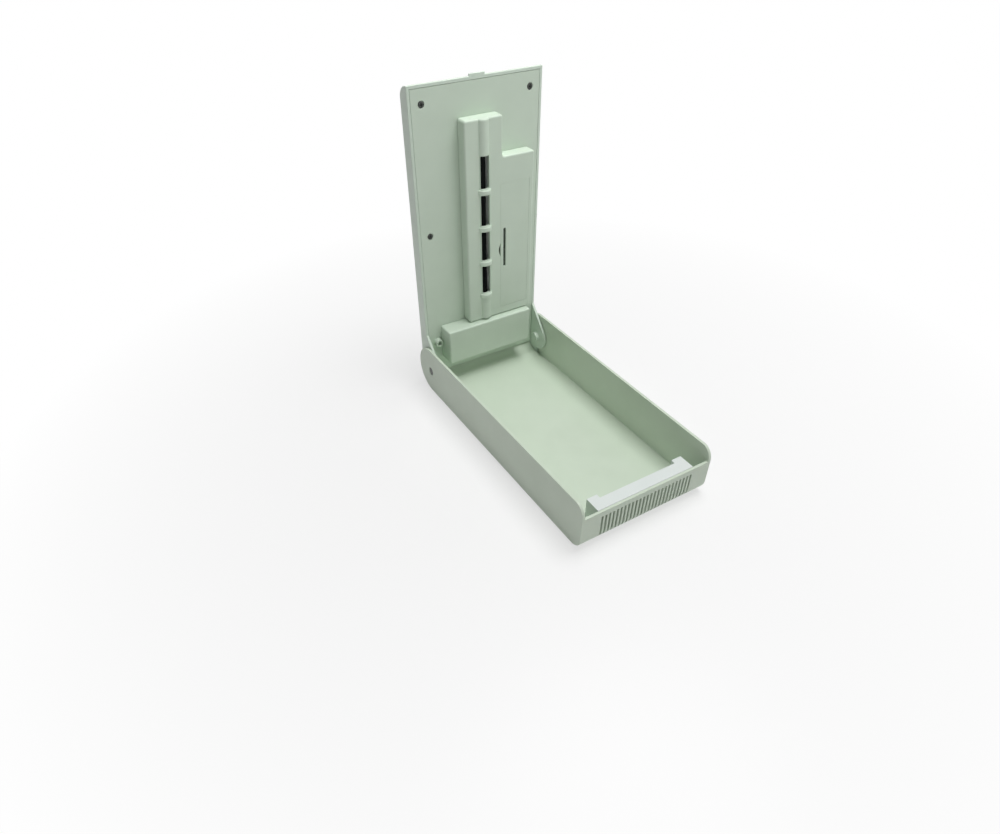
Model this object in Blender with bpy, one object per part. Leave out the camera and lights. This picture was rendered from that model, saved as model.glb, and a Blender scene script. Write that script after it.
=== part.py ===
"""Clamshell ultraviolet sanitizer box for phones, modelled with its lid open.

Metres, +Z up, front towards -Y. The lid is modelled closed, in a frame whose
origin is the hinge axis, and that frame is then turned upright.
"""
import math

import bmesh
import bpy
from mathutils import Matrix, Vector

# Driving sizes of the box
BOX_WIDTH = 0.104
BOX_LENGTH = 0.217
BOX_HEIGHT = 0.038
LID_EDGE_DEPTH = 0.010
WALL = 0.002
FLOOR = 0.002
FOOT_PROUD = 0.0008
FRONT_BOTTOM_RADIUS = 0.009
SIDE_BOTTOM_RADIUS = 0.003
FRONT_ROLL_LENGTH = 0.008
SEAT_GAP = 0.0003
CUT_OVERRUN = 0.001
EMBED = 0.0005
WELD_DISTANCE = 0.00001

FRONT_WALL_TOP = BOX_HEIGHT - LID_EDGE_DEPTH

# The rear end is a half round about the hinge axis
REAR_RADIUS = (BOX_HEIGHT - FOOT_PROUD) / 2
HINGE_Y = BOX_LENGTH / 2 - REAR_RADIUS
HINGE_Z = FOOT_PROUD + REAR_RADIUS
LID_REACH = HINGE_Y + BOX_LENGTH / 2
LID_OPEN_ANGLE = math.radians(90)

# Hinge pins, their bosses and the cheeks of the lid
PIN_RADIUS = 0.002
PIN_HEAD_RADIUS = 0.0029
PIN_HEAD_LENGTH = 0.0008
PIN_HEAD_DEPTH = 0.0003
PIN_BOSS_RADIUS = 0.0038
PIN_BOSS_LENGTH = 0.003
CHEEK_RADIUS = 0.011
CHEEK_CUT_ANGLE = math.radians(-138)

# Lid cover
LID_SIDE_GAP = 0.0005
LID_HALF_WIDTH = BOX_WIDTH / 2 - WALL - LID_SIDE_GAP
LID_SKIN = 0.002
LID_STOP_GAP = 0.0003
SKIRT_GAP = 0.0006
LIP_WIDTH = 0.0115
LIP_PROUD = 0.0015
LIP_THICKNESS = 0.0012

# Rear barrel of the tray, inside the lid's round back
BARREL_THICKNESS = 0.0016
BARREL_TOP_ANGLE = math.radians(20)
BARREL_CLEAR_ANGLE = math.radians(6)
BARREL_RAMP = 0.008

# Sound and air slots in the front wall, and the baffle behind them
BAFFLE_SIDE_INSET = 0.0135
BAFFLE_WIDTH = BOX_WIDTH - 2 * BAFFLE_SIDE_INSET
SLOT_WIDTH = 0.0015
SLOT_PITCH = 0.003
SLOT_COUNT = int(BAFFLE_WIDTH / SLOT_PITCH)
SLOT_TOP_MARGIN = 0.005
SLOT_TOP = FRONT_WALL_TOP - SLOT_TOP_MARGIN
SLOT_BOTTOM = 0.0033
SLOT_DEPTH = 0.0065
BAFFLE_DEPTH = 0.0106
BAFFLE_WALL = 0.0016
BAFFLE_TAB_WIDTH = 0.008
BAFFLE_TAB_DEPTH = 0.0015
BAFFLE_EDGE = 0.0004
MAGNET_WIDTH = 0.005
MAGNET_DEPTH = 0.004
MAGNET_HEIGHT = 0.002

# Rubber feet
FOOT_RADIUS = 0.0045
FOOT_POCKET = 0.0011
FOOT_SIDE_INSET = 0.012
FOOT_FRONT_INSET = 0.020
FOOT_REAR_INSET = 0.0265

# Power button, its switch and the status light, on the lid's outer face
BUTTON_Y = 0.0012
BUTTON_RADIUS = 0.0103
BUTTON_FLANGE = 0.0012
BUTTON_FLANGE_EXTRA = 0.0014
LIGHT_Y = 0.0212
LIGHT_LENGTH = 0.0070
LIGHT_WIDTH = 0.0010
LIGHT_PIPE_DEPTH = 0.0035
BOARD_THICKNESS = 0.0012
BOARD_SIDE_INSET = 0.0255
BOARD_MARGIN = 0.010
BOARD_LIFT = 0.0008
BOARD_POST_RADIUS = 0.0015
BOARD_POST_INSET = 0.0025
SWITCH_SIZE = 0.006
SWITCH_HEIGHT = 0.0012
PLUNGER_RADIUS = 0.0016
PLUNGER_LENGTH = 0.0011
PLUNGER_BORE_DEPTH = 0.0009

# Liner, the inner plate of the lid, with its four screws
LINER_THICKNESS = 0.0016
LINER_REAR_GAP = 0.0008
LINER_LEDGE = 0.0016
SCREW_SIDE_INSET = 0.0095
SCREW_FRONT_INSET = 0.0114
SCREW_X = LID_HALF_WIDTH - SCREW_SIDE_INSET
SCREW_NEAR = 0.103
SCREW_FAR = LID_REACH - SCREW_FRONT_INSET
SCREW_HEAD_RADIUS = 0.00185
SCREW_HEAD_HEIGHT = 0.0009
SCREW_SHANK_RADIUS = 0.0010
SCREW_LENGTH = 0.0055
SCREW_POST_RADIUS = 0.003
LINER_POST_GAP = 0.0037
LINER_POST_S = 0.0185
LINER_POST_RADIUS = 0.0032
LINER_POST_HEIGHT = 0.004
LINER_POST_BORE = 0.0015

# Lamp housing: an L-shaped plateau on the liner. Distances named S run from
# the hinge axis towards the lid's front edge.
HOUSING_DEPTH = 0.009
HOUSING_WALL = 0.0016
HOUSING_SIDE_INSET = 0.0103
HOUSING_STEP_WIDTH = 0.0256
HOUSING_FRONT_INSET = 0.0224
HOUSING_RIGHT = LID_HALF_WIDTH - HOUSING_SIDE_INSET
HOUSING_STEP_X = HOUSING_RIGHT - HOUSING_STEP_WIDTH
HOUSING_NEAR_S = 0.0318
HOUSING_FAR_S = LID_REACH - HOUSING_FRONT_INSET
HOUSING_EDGE = 0.0012

# Lamp, its half-round sleeve with windows, caps and reflector
LAMP_DOOR_GAP = 0.013
LAMP_SIDE_INSET = 0.0145
LAMP_END_INSET = 0.008
LAMP_RADIUS = 0.0024
LAMP_START_S = 0.044
LAMP_LENGTH = HOUSING_FAR_S - LAMP_END_INSET - LAMP_START_S
SLEEVE_RADIUS = 0.0058
SLEEVE_WALL = 0.0014
SLEEVE_SINK = 0.0034
WINDOW_COUNT = 4
WINDOW_START_S = 0.054
WINDOW_END_INSET = 0.0227
WINDOW_BRIDGE = 0.0039
WINDOW_END_S = HOUSING_FAR_S - WINDOW_END_INSET
WINDOW_LENGTH = (WINDOW_END_S - WINDOW_START_S - (WINDOW_COUNT - 1) * WINDOW_BRIDGE) / WINDOW_COUNT
WINDOW_WIDTH = 0.0078
RING_EXTRA = 0.0005
RING_WIDTH = 0.0026
CAP_LENGTH = 0.008
CAP_FLOOR = 0.002
REFLECTOR_WIDTH = 0.0096
REFLECTOR_RISE = 0.0028
REFLECTOR_THICKNESS = 0.0004
REFLECTOR_MARGIN = 0.001
REFLECTOR_BEHIND = 0.0036

# Battery bay: door, holder, four cells and their contacts
CELL_RADIUS = 0.0052
CELL_LENGTH = 0.0442
CELL_ROWS = 2
DOOR_SIDE_INSET = 0.0035
DOOR_SIDE_SPARE = 0.0029
DOOR_END_SPARE = 0.0056
DOOR_RIGHT = HOUSING_RIGHT - DOOR_SIDE_INSET
DOOR_LEFT = DOOR_RIGHT - 4 * CELL_RADIUS - DOOR_SIDE_SPARE
DOOR_NEAR_S = 0.038
DOOR_FAR_S = DOOR_NEAR_S + CELL_ROWS * CELL_LENGTH + DOOR_END_SPARE
DOOR_MIDDLE_S = (DOOR_NEAR_S + DOOR_FAR_S) / 2
HOUSING_STEP_MARGIN = 0.018
HOUSING_STEP_S = DOOR_FAR_S + HOUSING_STEP_MARGIN
LAMP_X = DOOR_LEFT - LAMP_DOOR_GAP
HOUSING_LEFT = LAMP_X - LAMP_SIDE_INSET
DOOR_THICKNESS = 0.0014
DOOR_SLOT_INSET = 0.0033
DOOR_SLOT_WIDTH = 0.0021
DOOR_SLOT_LENGTH = 0.0295
DOOR_SLOT_OFFSET = 0.0006
DOOR_TAB_THICKNESS = 0.0009
DOOR_TAB_REACH = 0.0013
DOOR_TAB_WIDTH = 0.008
DOOR_TAB_INSET = 0.012
DOOR_TAB_ROOT = 0.0014
DOOR_TAB_SWING = 0.0016
NOTCH_OFFSET = 0.0005
NOTCH_REACH = 0.0015
NOTCH_HEIGHT = 0.0095
CELL_NIPPLE_RADIUS = 0.0019
CELL_NIPPLE_LENGTH = 0.0010
CELL_LIFT = 0.0004
HOLDER_WALL = 0.0008
HOLDER_BASE = 0.0010
HOLDER_END = 0.0010
HOLDER_RIM_DROP = 0.0085
CONTACT_THICKNESS = 0.0005
CONTACT_WIDTH = 0.008
CONTACT_HEIGHT = 0.007
CONTACT_DIMPLE = 0.0009
CONTACT_DIMPLE_RADIUS = 0.0022
HOLDER_RIB_THICKNESS = 0.0015
HOLDER_RIB_WIDTH = 0.018
HOLDER_RIB_INSET = 0.020

# Driver box at the lid's hinge end, with the lamp's inverter inside
DRIVER_SIDE_INSET = 0.013
DRIVER_WIDTH = 2 * (LID_HALF_WIDTH - DRIVER_SIDE_INSET)
DRIVER_DEPTH = 0.0138
DRIVER_NEAR_S = 0.0038
DRIVER_FAR_S = 0.0315
DRIVER_WALL = 0.0016
DRIVER_EDGE = 0.0009
INVERTER_BOARD_MARGIN = 0.0014
TRANSFORMER_WIDTH = 0.016
TRANSFORMER_LENGTH = 0.013
TRANSFORMER_HEIGHT = 0.0065
CAPACITOR_RADIUS = 0.0030
CAPACITOR_LENGTH = 0.010
CAPACITOR_X = 0.020

# Lid sensor: a reed capsule in the lid's front, above the tray's magnet
REED_RADIUS = 0.0012
REED_LENGTH = 0.012
REED_SIDE_INSET = 0.0085
REED_FRONT_INSET = 0.0084
REED_X = REED_SIDE_INSET - BAFFLE_WIDTH / 2
REED_S = LID_REACH - REED_FRONT_INSET

# Steps used for round outlines
ARC_STEPS = 12
ROUND_STEPS = 32
SMALL_STEPS = 16

# Frame of the closed lid, measured from the hinge axis
RIM_Z = FRONT_WALL_TOP + SEAT_GAP - HINGE_Z
SKIN_TOP = REAR_RADIUS
SKIN_UNDER = REAR_RADIUS - LID_SKIN
LINER_TOP = RIM_Z + LINER_THICKNESS
HOUSING_FACE = RIM_Z - HOUSING_DEPTH
LAMP_Z = HOUSING_FACE + SLEEVE_SINK
BARREL_OUTER = SKIN_UNDER - SKIRT_GAP
BARREL_INNER = BARREL_OUTER - BARREL_THICKNESS
LINER_REAR = math.sqrt(BARREL_INNER ** 2 - LINER_TOP ** 2) - LINER_REAR_GAP
LINER_POST_X = -DRIVER_WIDTH / 2 - LINER_POST_GAP
BOARD_RIGHT = DOOR_LEFT - SEAT_GAP
BOARD_LEFT = BOARD_SIDE_INSET - LID_HALF_WIDTH

MINT = (0.60, 0.72, 0.62)
MINT_LIGHT = (0.68, 0.79, 0.70)
RUBBER = (0.05, 0.05, 0.05)
STEEL = (0.55, 0.56, 0.57)
GLASS_DARK = (0.02, 0.025, 0.03)
ALUMINIUM = (0.80, 0.81, 0.82)
BOARD_GREEN = (0.03, 0.16, 0.07)
BLACK_PLASTIC = (0.03, 0.03, 0.035)
CELL_WRAP = (0.12, 0.14, 0.16)
CLEAR_PIPE = (0.10, 0.13, 0.12)
FERRITE = (0.06, 0.055, 0.05)


def clear_scene():
    for thing in list(bpy.data.objects):
        bpy.data.objects.remove(thing, do_unlink=True)


def finish_material(name, colour, roughness, metallic=0.0):
    finish = bpy.data.materials.new(name + "_finish")
    finish.use_nodes = True
    shader = finish.node_tree.nodes["Principled BSDF"]
    shader.inputs["Base Color"].default_value = (*colour, 1.0)
    shader.inputs["Roughness"].default_value = roughness
    shader.inputs["Metallic"].default_value = metallic
    return finish


def add_object(name, shape, parent=None):
    mesh = bpy.data.meshes.new(name)
    bmesh.ops.recalc_face_normals(shape, faces=shape.faces)
    shape.to_mesh(mesh)
    shape.free()
    thing = bpy.data.objects.new(name, mesh)
    bpy.context.scene.collection.objects.link(thing)
    thing.parent = parent
    return thing


def dress(thing, colour, roughness, metallic=0.0, smooth=False):
    thing.data.materials.append(finish_material(thing.name, colour, roughness, metallic))
    if smooth:
        thing.data.shade_smooth()
        thing.data.set_sharp_from_angle(angle=math.radians(35))
    return thing


def box_shape(low, high):
    shape = bmesh.new()
    size = Vector(high) - Vector(low)
    centre = (Vector(high) + Vector(low)) / 2
    bmesh.ops.create_cube(shape, size=1.0)
    bmesh.ops.scale(shape, vec=size, verts=shape.verts)
    bmesh.ops.translate(shape, vec=centre, verts=shape.verts)
    return shape


def prism_shape(outline, start, end, across):
    """Extrude an outline. It is given in (y, z) across X, or in (x, y) across Z."""
    shape = bmesh.new()
    if across == "X":
        corners = [shape.verts.new((start, a, b)) for a, b in outline]
        path = Vector((end - start, 0, 0))
    elif across == "Z":
        corners = [shape.verts.new((a, b, start)) for a, b in outline]
        path = Vector((0, 0, end - start))
    else:
        corners = [shape.verts.new((a, start, b)) for a, b in outline]
        path = Vector((0, end - start, 0))
    face = shape.faces.new(corners)
    grown = bmesh.ops.extrude_face_region(shape, geom=[face])
    moved = [part for part in grown["geom"] if isinstance(part, bmesh.types.BMVert)]
    bmesh.ops.translate(shape, vec=path, verts=moved)
    return shape


def rod_shape(centre, radius, length, axis, steps=SMALL_STEPS):
    """A cylinder that starts at centre and runs along axis."""
    shape = bmesh.new()
    bmesh.ops.create_cone(
        shape, cap_ends=True, segments=steps, radius1=radius, radius2=radius, depth=length
    )
    bmesh.ops.translate(shape, vec=(0, 0, length / 2), verts=shape.verts)
    turns = {
        "X": Matrix.Rotation(math.radians(90), 3, "Y"),
        "Y": Matrix.Rotation(math.radians(-90), 3, "X"),
        "Z": Matrix.Identity(3),
    }
    bmesh.ops.rotate(shape, cent=(0, 0, 0), matrix=turns[axis], verts=shape.verts)
    bmesh.ops.translate(shape, vec=centre, verts=shape.verts)
    return shape


def turned_shape(profile, centre, axis, steps=SMALL_STEPS):
    """Spin a profile of (radius, height) pairs, which starts and ends on the axis."""
    shape = bmesh.new()
    corners = [shape.verts.new((r, 0, h)) for r, h in profile]
    edges = [shape.edges.new(pair) for pair in zip(corners, corners[1:])]
    bmesh.ops.spin(
        shape, geom=corners + edges, cent=(0, 0, 0), axis=(0, 0, 1),
        angle=math.radians(360), steps=steps, use_merge=True,
    )
    bmesh.ops.remove_doubles(shape, verts=shape.verts, dist=WELD_DISTANCE)
    turns = {
        "X": Matrix.Rotation(math.radians(90), 3, "Y"),
        "-X": Matrix.Rotation(math.radians(-90), 3, "Y"),
        "Y": Matrix.Rotation(math.radians(-90), 3, "X"),
        "Z": Matrix.Identity(3),
    }
    bmesh.ops.rotate(shape, cent=(0, 0, 0), matrix=turns[axis], verts=shape.verts)
    bmesh.ops.translate(shape, vec=centre, verts=shape.verts)
    return shape


def arc_points(centre, radius_a, radius_b, start, end, steps):
    points = []
    for step in range(steps + 1):
        angle = start + (end - start) * step / steps
        points.append((centre[0] + radius_a * math.cos(angle), centre[1] + radius_b * math.sin(angle)))
    return points


def combine(thing, tool, operation):
    tool.hide_render = True
    tool.display_type = "WIRE"
    modifier = thing.modifiers.new(tool.name, "BOOLEAN")
    modifier.operation = operation
    modifier.solver = "EXACT"
    modifier.object = tool


def cut(thing, name, shape):
    combine(thing, add_object(thing.name + "_" + name, shape, thing.parent), "DIFFERENCE")


def join(thing, name, shape):
    combine(thing, add_object(thing.name + "_" + name, shape, thing.parent), "UNION")


def soften(thing, width, segments):
    modifier = thing.modifiers.new("edge", "BEVEL")
    modifier.width = width
    modifier.segments = segments
    modifier.limit_method = "ANGLE"
    modifier.angle_limit = math.radians(40)


def side_outline():
    """Profile of the tray's side walls in (y, z)."""
    front = -BOX_LENGTH / 2
    bottom = FOOT_PROUD
    corner = (front + FRONT_BOTTOM_RADIUS, bottom + FRONT_BOTTOM_RADIUS)
    points = arc_points(
        corner, FRONT_BOTTOM_RADIUS, FRONT_BOTTOM_RADIUS, math.radians(-90), math.radians(-180), ARC_STEPS
    )
    roll = (front + FRONT_ROLL_LENGTH, FRONT_WALL_TOP)
    points += arc_points(
        roll, FRONT_ROLL_LENGTH, BOX_HEIGHT - FRONT_WALL_TOP, math.radians(180), math.radians(90), ARC_STEPS
    )
    points += arc_points(
        (HINGE_Y, HINGE_Z), REAR_RADIUS, REAR_RADIUS, math.radians(90), math.radians(-90), 2 * ARC_STEPS
    )
    return points


def polar(radius, angle):
    return (HINGE_Y + radius * math.cos(angle), HINGE_Z + radius * math.sin(angle))


def tray_pocket_outline():
    """The hollow of the tray, over the front wall and out above the rear barrel."""
    front = -BOX_LENGTH / 2
    bottom = FOOT_PROUD
    over = BOX_HEIGHT + CUT_OVERRUN
    corner = (front + FRONT_BOTTOM_RADIUS, bottom + FRONT_BOTTOM_RADIUS)
    inner = FRONT_BOTTOM_RADIUS - WALL
    points = [(front - CUT_OVERRUN, FRONT_WALL_TOP), (front + WALL, FRONT_WALL_TOP)]
    points += arc_points(corner, inner, inner, math.radians(180), math.radians(270), ARC_STEPS // 2)
    points.append((HINGE_Y - BARREL_RAMP, bottom + FLOOR))
    points += arc_points(
        (HINGE_Y, HINGE_Z), BARREL_INNER, BARREL_INNER, math.radians(-90), BARREL_TOP_ANGLE, ARC_STEPS
    )
    points.append(polar(REAR_RADIUS + CUT_OVERRUN, BARREL_TOP_ANGLE))
    points += [(BOX_LENGTH / 2 + CUT_OVERRUN, over), (front - CUT_OVERRUN, over)]
    return points


def skirt_pocket_outline():
    """The space outside the rear barrel, where the lid's round back swings."""
    low = FOOT_PROUD - CUT_OVERRUN
    stop = HINGE_Y - LID_STOP_GAP
    top_angle = BARREL_TOP_ANGLE + BARREL_CLEAR_ANGLE
    points = [(stop, low), (stop, HINGE_Z - BARREL_OUTER)]
    points += arc_points(
        (HINGE_Y, HINGE_Z), BARREL_OUTER, BARREL_OUTER, math.radians(-90), top_angle, ARC_STEPS
    )
    points.append(polar(REAR_RADIUS + CUT_OVERRUN, top_angle))
    points.append((BOX_LENGTH / 2 + 2 * CUT_OVERRUN, HINGE_Z))
    points.append((BOX_LENGTH / 2 + 2 * CUT_OVERRUN, low))
    return points


def slot_comb():
    comb = bmesh.new()
    front = -BOX_LENGTH / 2
    for index in range(SLOT_COUNT):
        x = (index - (SLOT_COUNT - 1) / 2) * SLOT_PITCH
        low = Vector((x - SLOT_WIDTH / 2, front - CUT_OVERRUN, SLOT_BOTTOM))
        high = Vector((x + SLOT_WIDTH / 2, front + SLOT_DEPTH, SLOT_TOP))
        made = bmesh.ops.create_cube(comb, size=1.0)["verts"]
        bmesh.ops.scale(comb, vec=high - low, verts=made)
        bmesh.ops.translate(comb, vec=(low + high) / 2, verts=made)
    return comb


def foot_places():
    x = BOX_WIDTH / 2 - FOOT_SIDE_INSET
    front = -BOX_LENGTH / 2 + FOOT_FRONT_INSET
    rear = BOX_LENGTH / 2 - FOOT_REAR_INSET
    return {
        "front_left": (-x, front),
        "front_right": (x, front),
        "rear_left": (-x, rear),
        "rear_right": (x, rear),
    }


def bottom_edge_outline(side):
    """What rounds a long bottom edge of the tray, in (x, z)."""
    half = BOX_WIDTH / 2
    bottom = FOOT_PROUD
    centre = (half - SIDE_BOTTOM_RADIUS, bottom + SIDE_BOTTOM_RADIUS)
    points = arc_points(
        centre, SIDE_BOTTOM_RADIUS, SIDE_BOTTOM_RADIUS, 0, math.radians(-90), ARC_STEPS // 2
    )
    points += [(centre[0], bottom - CUT_OVERRUN), (half + CUT_OVERRUN, bottom - CUT_OVERRUN)]
    points.append((half + CUT_OVERRUN, centre[1]))
    return [(side * x, z) for x, z in points]


def tray_shell():
    half = BOX_WIDTH / 2
    inside = half - WALL
    slot_start = LID_HALF_WIDTH - LID_SKIN - SEAT_GAP
    tray = add_object("tray_shell", prism_shape(side_outline(), -half, half, "X"))
    reach = BOX_LENGTH / 2 + CUT_OVERRUN
    for name, side in (("left", -1), ("right", 1)):
        cut(tray, "edge_" + name, prism_shape(bottom_edge_outline(side), -reach, reach, "Y"))
    cut(tray, "pocket", prism_shape(tray_pocket_outline(), -inside, inside, "X"))
    cut(tray, "skirt_space", prism_shape(skirt_pocket_outline(), -inside, inside, "X"))
    for name, side in (("left", -1), ("right", 1)):
        near, far = sorted((side * slot_start, side * inside))
        low = (near, HINGE_Y - BARREL_RAMP, FOOT_PROUD + FLOOR)
        high = (far, BOX_LENGTH / 2 + CUT_OVERRUN, BOX_HEIGHT + CUT_OVERRUN)
        cut(tray, "cheek_space_" + name, box_shape(low, high))
        low = (near, HINGE_Y - LID_STOP_GAP, FOOT_PROUD - CUT_OVERRUN)
        high = (far, BOX_LENGTH / 2 + 2 * CUT_OVERRUN, HINGE_Z)
        cut(tray, "cheek_floor_" + name, box_shape(low, high))
        start = (side * (half + CUT_OVERRUN), HINGE_Y, HINGE_Z)
        through = rod_shape(start, PIN_RADIUS + SEAT_GAP, -side * (WALL + 2 * CUT_OVERRUN), "X")
        cut(tray, "pin_hole_" + name, through)
        recess = PIN_HEAD_DEPTH + PIN_HEAD_LENGTH + SEAT_GAP + CUT_OVERRUN
        cut(tray, "pin_recess_" + name, rod_shape(start, PIN_HEAD_RADIUS + SEAT_GAP, -side * recess, "X"))
    cut(tray, "slots", slot_comb())
    for name, (x, y) in foot_places().items():
        start = (x, y, FOOT_PROUD - CUT_OVERRUN)
        pocket = rod_shape(start, FOOT_RADIUS + SEAT_GAP, FOOT_POCKET + CUT_OVERRUN, "Z", SMALL_STEPS)
        cut(tray, "pocket_" + name, pocket)
    return dress(tray, MINT, 0.42)


def vent_baffle():
    front = -BOX_LENGTH / 2 + WALL + SEAT_GAP
    back = -BOX_LENGTH / 2 + WALL + BAFFLE_DEPTH
    half = BAFFLE_WIDTH / 2
    tab = half - BAFFLE_TAB_WIDTH
    tab_end = back + BAFFLE_TAB_DEPTH
    outline = [(-half, front), (half, front), (half, tab_end), (tab, tab_end)]
    outline += [(tab, back), (-tab, back), (-tab, tab_end), (-half, tab_end)]
    foot = FOOT_PROUD + FLOOR + SEAT_GAP
    baffle = add_object("vent_baffle", prism_shape(outline, foot, FRONT_WALL_TOP, "Z"))
    soften(baffle, BAFFLE_EDGE, 2)
    low = (-half + BAFFLE_WALL, front - CUT_OVERRUN, foot - CUT_OVERRUN)
    high = (half - BAFFLE_WALL, back - BAFFLE_WALL, FRONT_WALL_TOP - BAFFLE_WALL)
    cut(baffle, "hollow", box_shape(low, high))
    corner = FRONT_BOTTOM_RADIUS
    low = (-half - CUT_OVERRUN, front - CUT_OVERRUN, foot - CUT_OVERRUN)
    high = (half + CUT_OVERRUN, -BOX_LENGTH / 2 + corner, FOOT_PROUD + corner)
    cut(baffle, "corner_relief", box_shape(low, high))
    return dress(baffle, MINT_LIGHT, 0.42)


def tray_magnet():
    x = -(BAFFLE_WIDTH / 2 - BAFFLE_WALL - SEAT_GAP - MAGNET_WIDTH)
    back = -BOX_LENGTH / 2 + WALL + BAFFLE_DEPTH - BAFFLE_WALL - SEAT_GAP
    top = FRONT_WALL_TOP - BAFFLE_WALL - SEAT_GAP
    low = (x - MAGNET_WIDTH, back - MAGNET_DEPTH, top - MAGNET_HEIGHT)
    return dress(add_object("lid_magnet", box_shape(low, (x, back, top))), STEEL, 0.3, 1.0)


def feet():
    for name, (x, y) in foot_places().items():
        height = FOOT_PROUD + FOOT_POCKET - SEAT_GAP
        foot = add_object("foot_" + name, rod_shape((x, y, 0), FOOT_RADIUS, height, "Z"))
        dress(foot, RUBBER, 0.8, smooth=True)


def hinge_pins():
    half = BOX_WIDTH / 2
    inner_end = LID_HALF_WIDTH - LID_SKIN - PIN_BOSS_LENGTH + SEAT_GAP
    for name, side in (("left", -1), ("right", 1)):
        head = half - PIN_HEAD_DEPTH
        length = head - inner_end
        profile = [(0, 0), (PIN_HEAD_RADIUS, 0), (PIN_HEAD_RADIUS, PIN_HEAD_LENGTH)]
        profile += [(PIN_RADIUS, PIN_HEAD_LENGTH), (PIN_RADIUS, length), (0, length)]
        axis = "X" if side < 0 else "-X"
        pin = add_object("hinge_pin_" + name, turned_shape(profile, (side * head, HINGE_Y, HINGE_Z), axis))
        dress(pin, STEEL, 0.35, 1.0, smooth=True)


def lid_outline():
    """Side profile of the closed lid in (y, z) from the hinge axis, with its cheek."""
    roll = (-LID_REACH + FRONT_ROLL_LENGTH, RIM_Z)
    points = arc_points(
        roll, FRONT_ROLL_LENGTH, SKIN_TOP - RIM_Z, math.radians(180), math.radians(90), ARC_STEPS
    )
    points += arc_points((0, 0), SKIN_TOP, SKIN_TOP, math.radians(90), 0, ARC_STEPS)
    points += arc_points((0, 0), CHEEK_RADIUS, CHEEK_RADIUS, 0, CHEEK_CUT_ANGLE, ARC_STEPS)
    touch_y = CHEEK_RADIUS * math.cos(CHEEK_CUT_ANGLE)
    touch_z = CHEEK_RADIUS * math.sin(CHEEK_CUT_ANGLE)
    rise = RIM_Z - touch_z
    points.append((touch_y + rise * math.tan(CHEEK_CUT_ANGLE + math.radians(90)), RIM_Z))
    return points


def lid_hollow_outline():
    """Inside of the lid's skin, open at the rim and at the end of the round back."""
    roll = (-LID_REACH + FRONT_ROLL_LENGTH, RIM_Z)
    low = -CHEEK_RADIUS - CUT_OVERRUN
    points = [(-LID_REACH + LID_SKIN, low)]
    points += arc_points(
        roll, FRONT_ROLL_LENGTH - LID_SKIN, SKIN_UNDER - RIM_Z, math.radians(180), math.radians(90), ARC_STEPS
    )
    points += arc_points((0, 0), SKIN_UNDER, SKIN_UNDER, math.radians(90), 0, ARC_STEPS)
    points.append((SKIN_UNDER, low))
    return points


def screw_places():
    places = {}
    for row, s in (("near", SCREW_NEAR), ("far", SCREW_FAR)):
        for name, side in (("left", -1), ("right", 1)):
            places[row + "_" + name] = (side * SCREW_X, -s)
    return places


def board_places():
    """Corners of the control board's post pattern, in the lid's frame."""
    left = BOARD_LEFT + BOARD_POST_INSET
    right = BOARD_RIGHT - BOARD_POST_INSET
    near, far = board_span()
    return {
        "near_left": (left, far - BOARD_POST_INSET),
        "near_right": (right, far - BOARD_POST_INSET),
        "far_left": (left, near + BOARD_POST_INSET),
        "far_right": (right, near + BOARD_POST_INSET),
    }


def board_span():
    """Ends of the board along Y. Its posts pass beside the button's flange."""
    reach = BUTTON_RADIUS + BUTTON_FLANGE_EXTRA + 2 * SEAT_GAP + BOARD_POST_RADIUS + BOARD_POST_INSET
    return BUTTON_Y - HINGE_Y - reach, LIGHT_Y - HINGE_Y + BOARD_MARGIN


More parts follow.
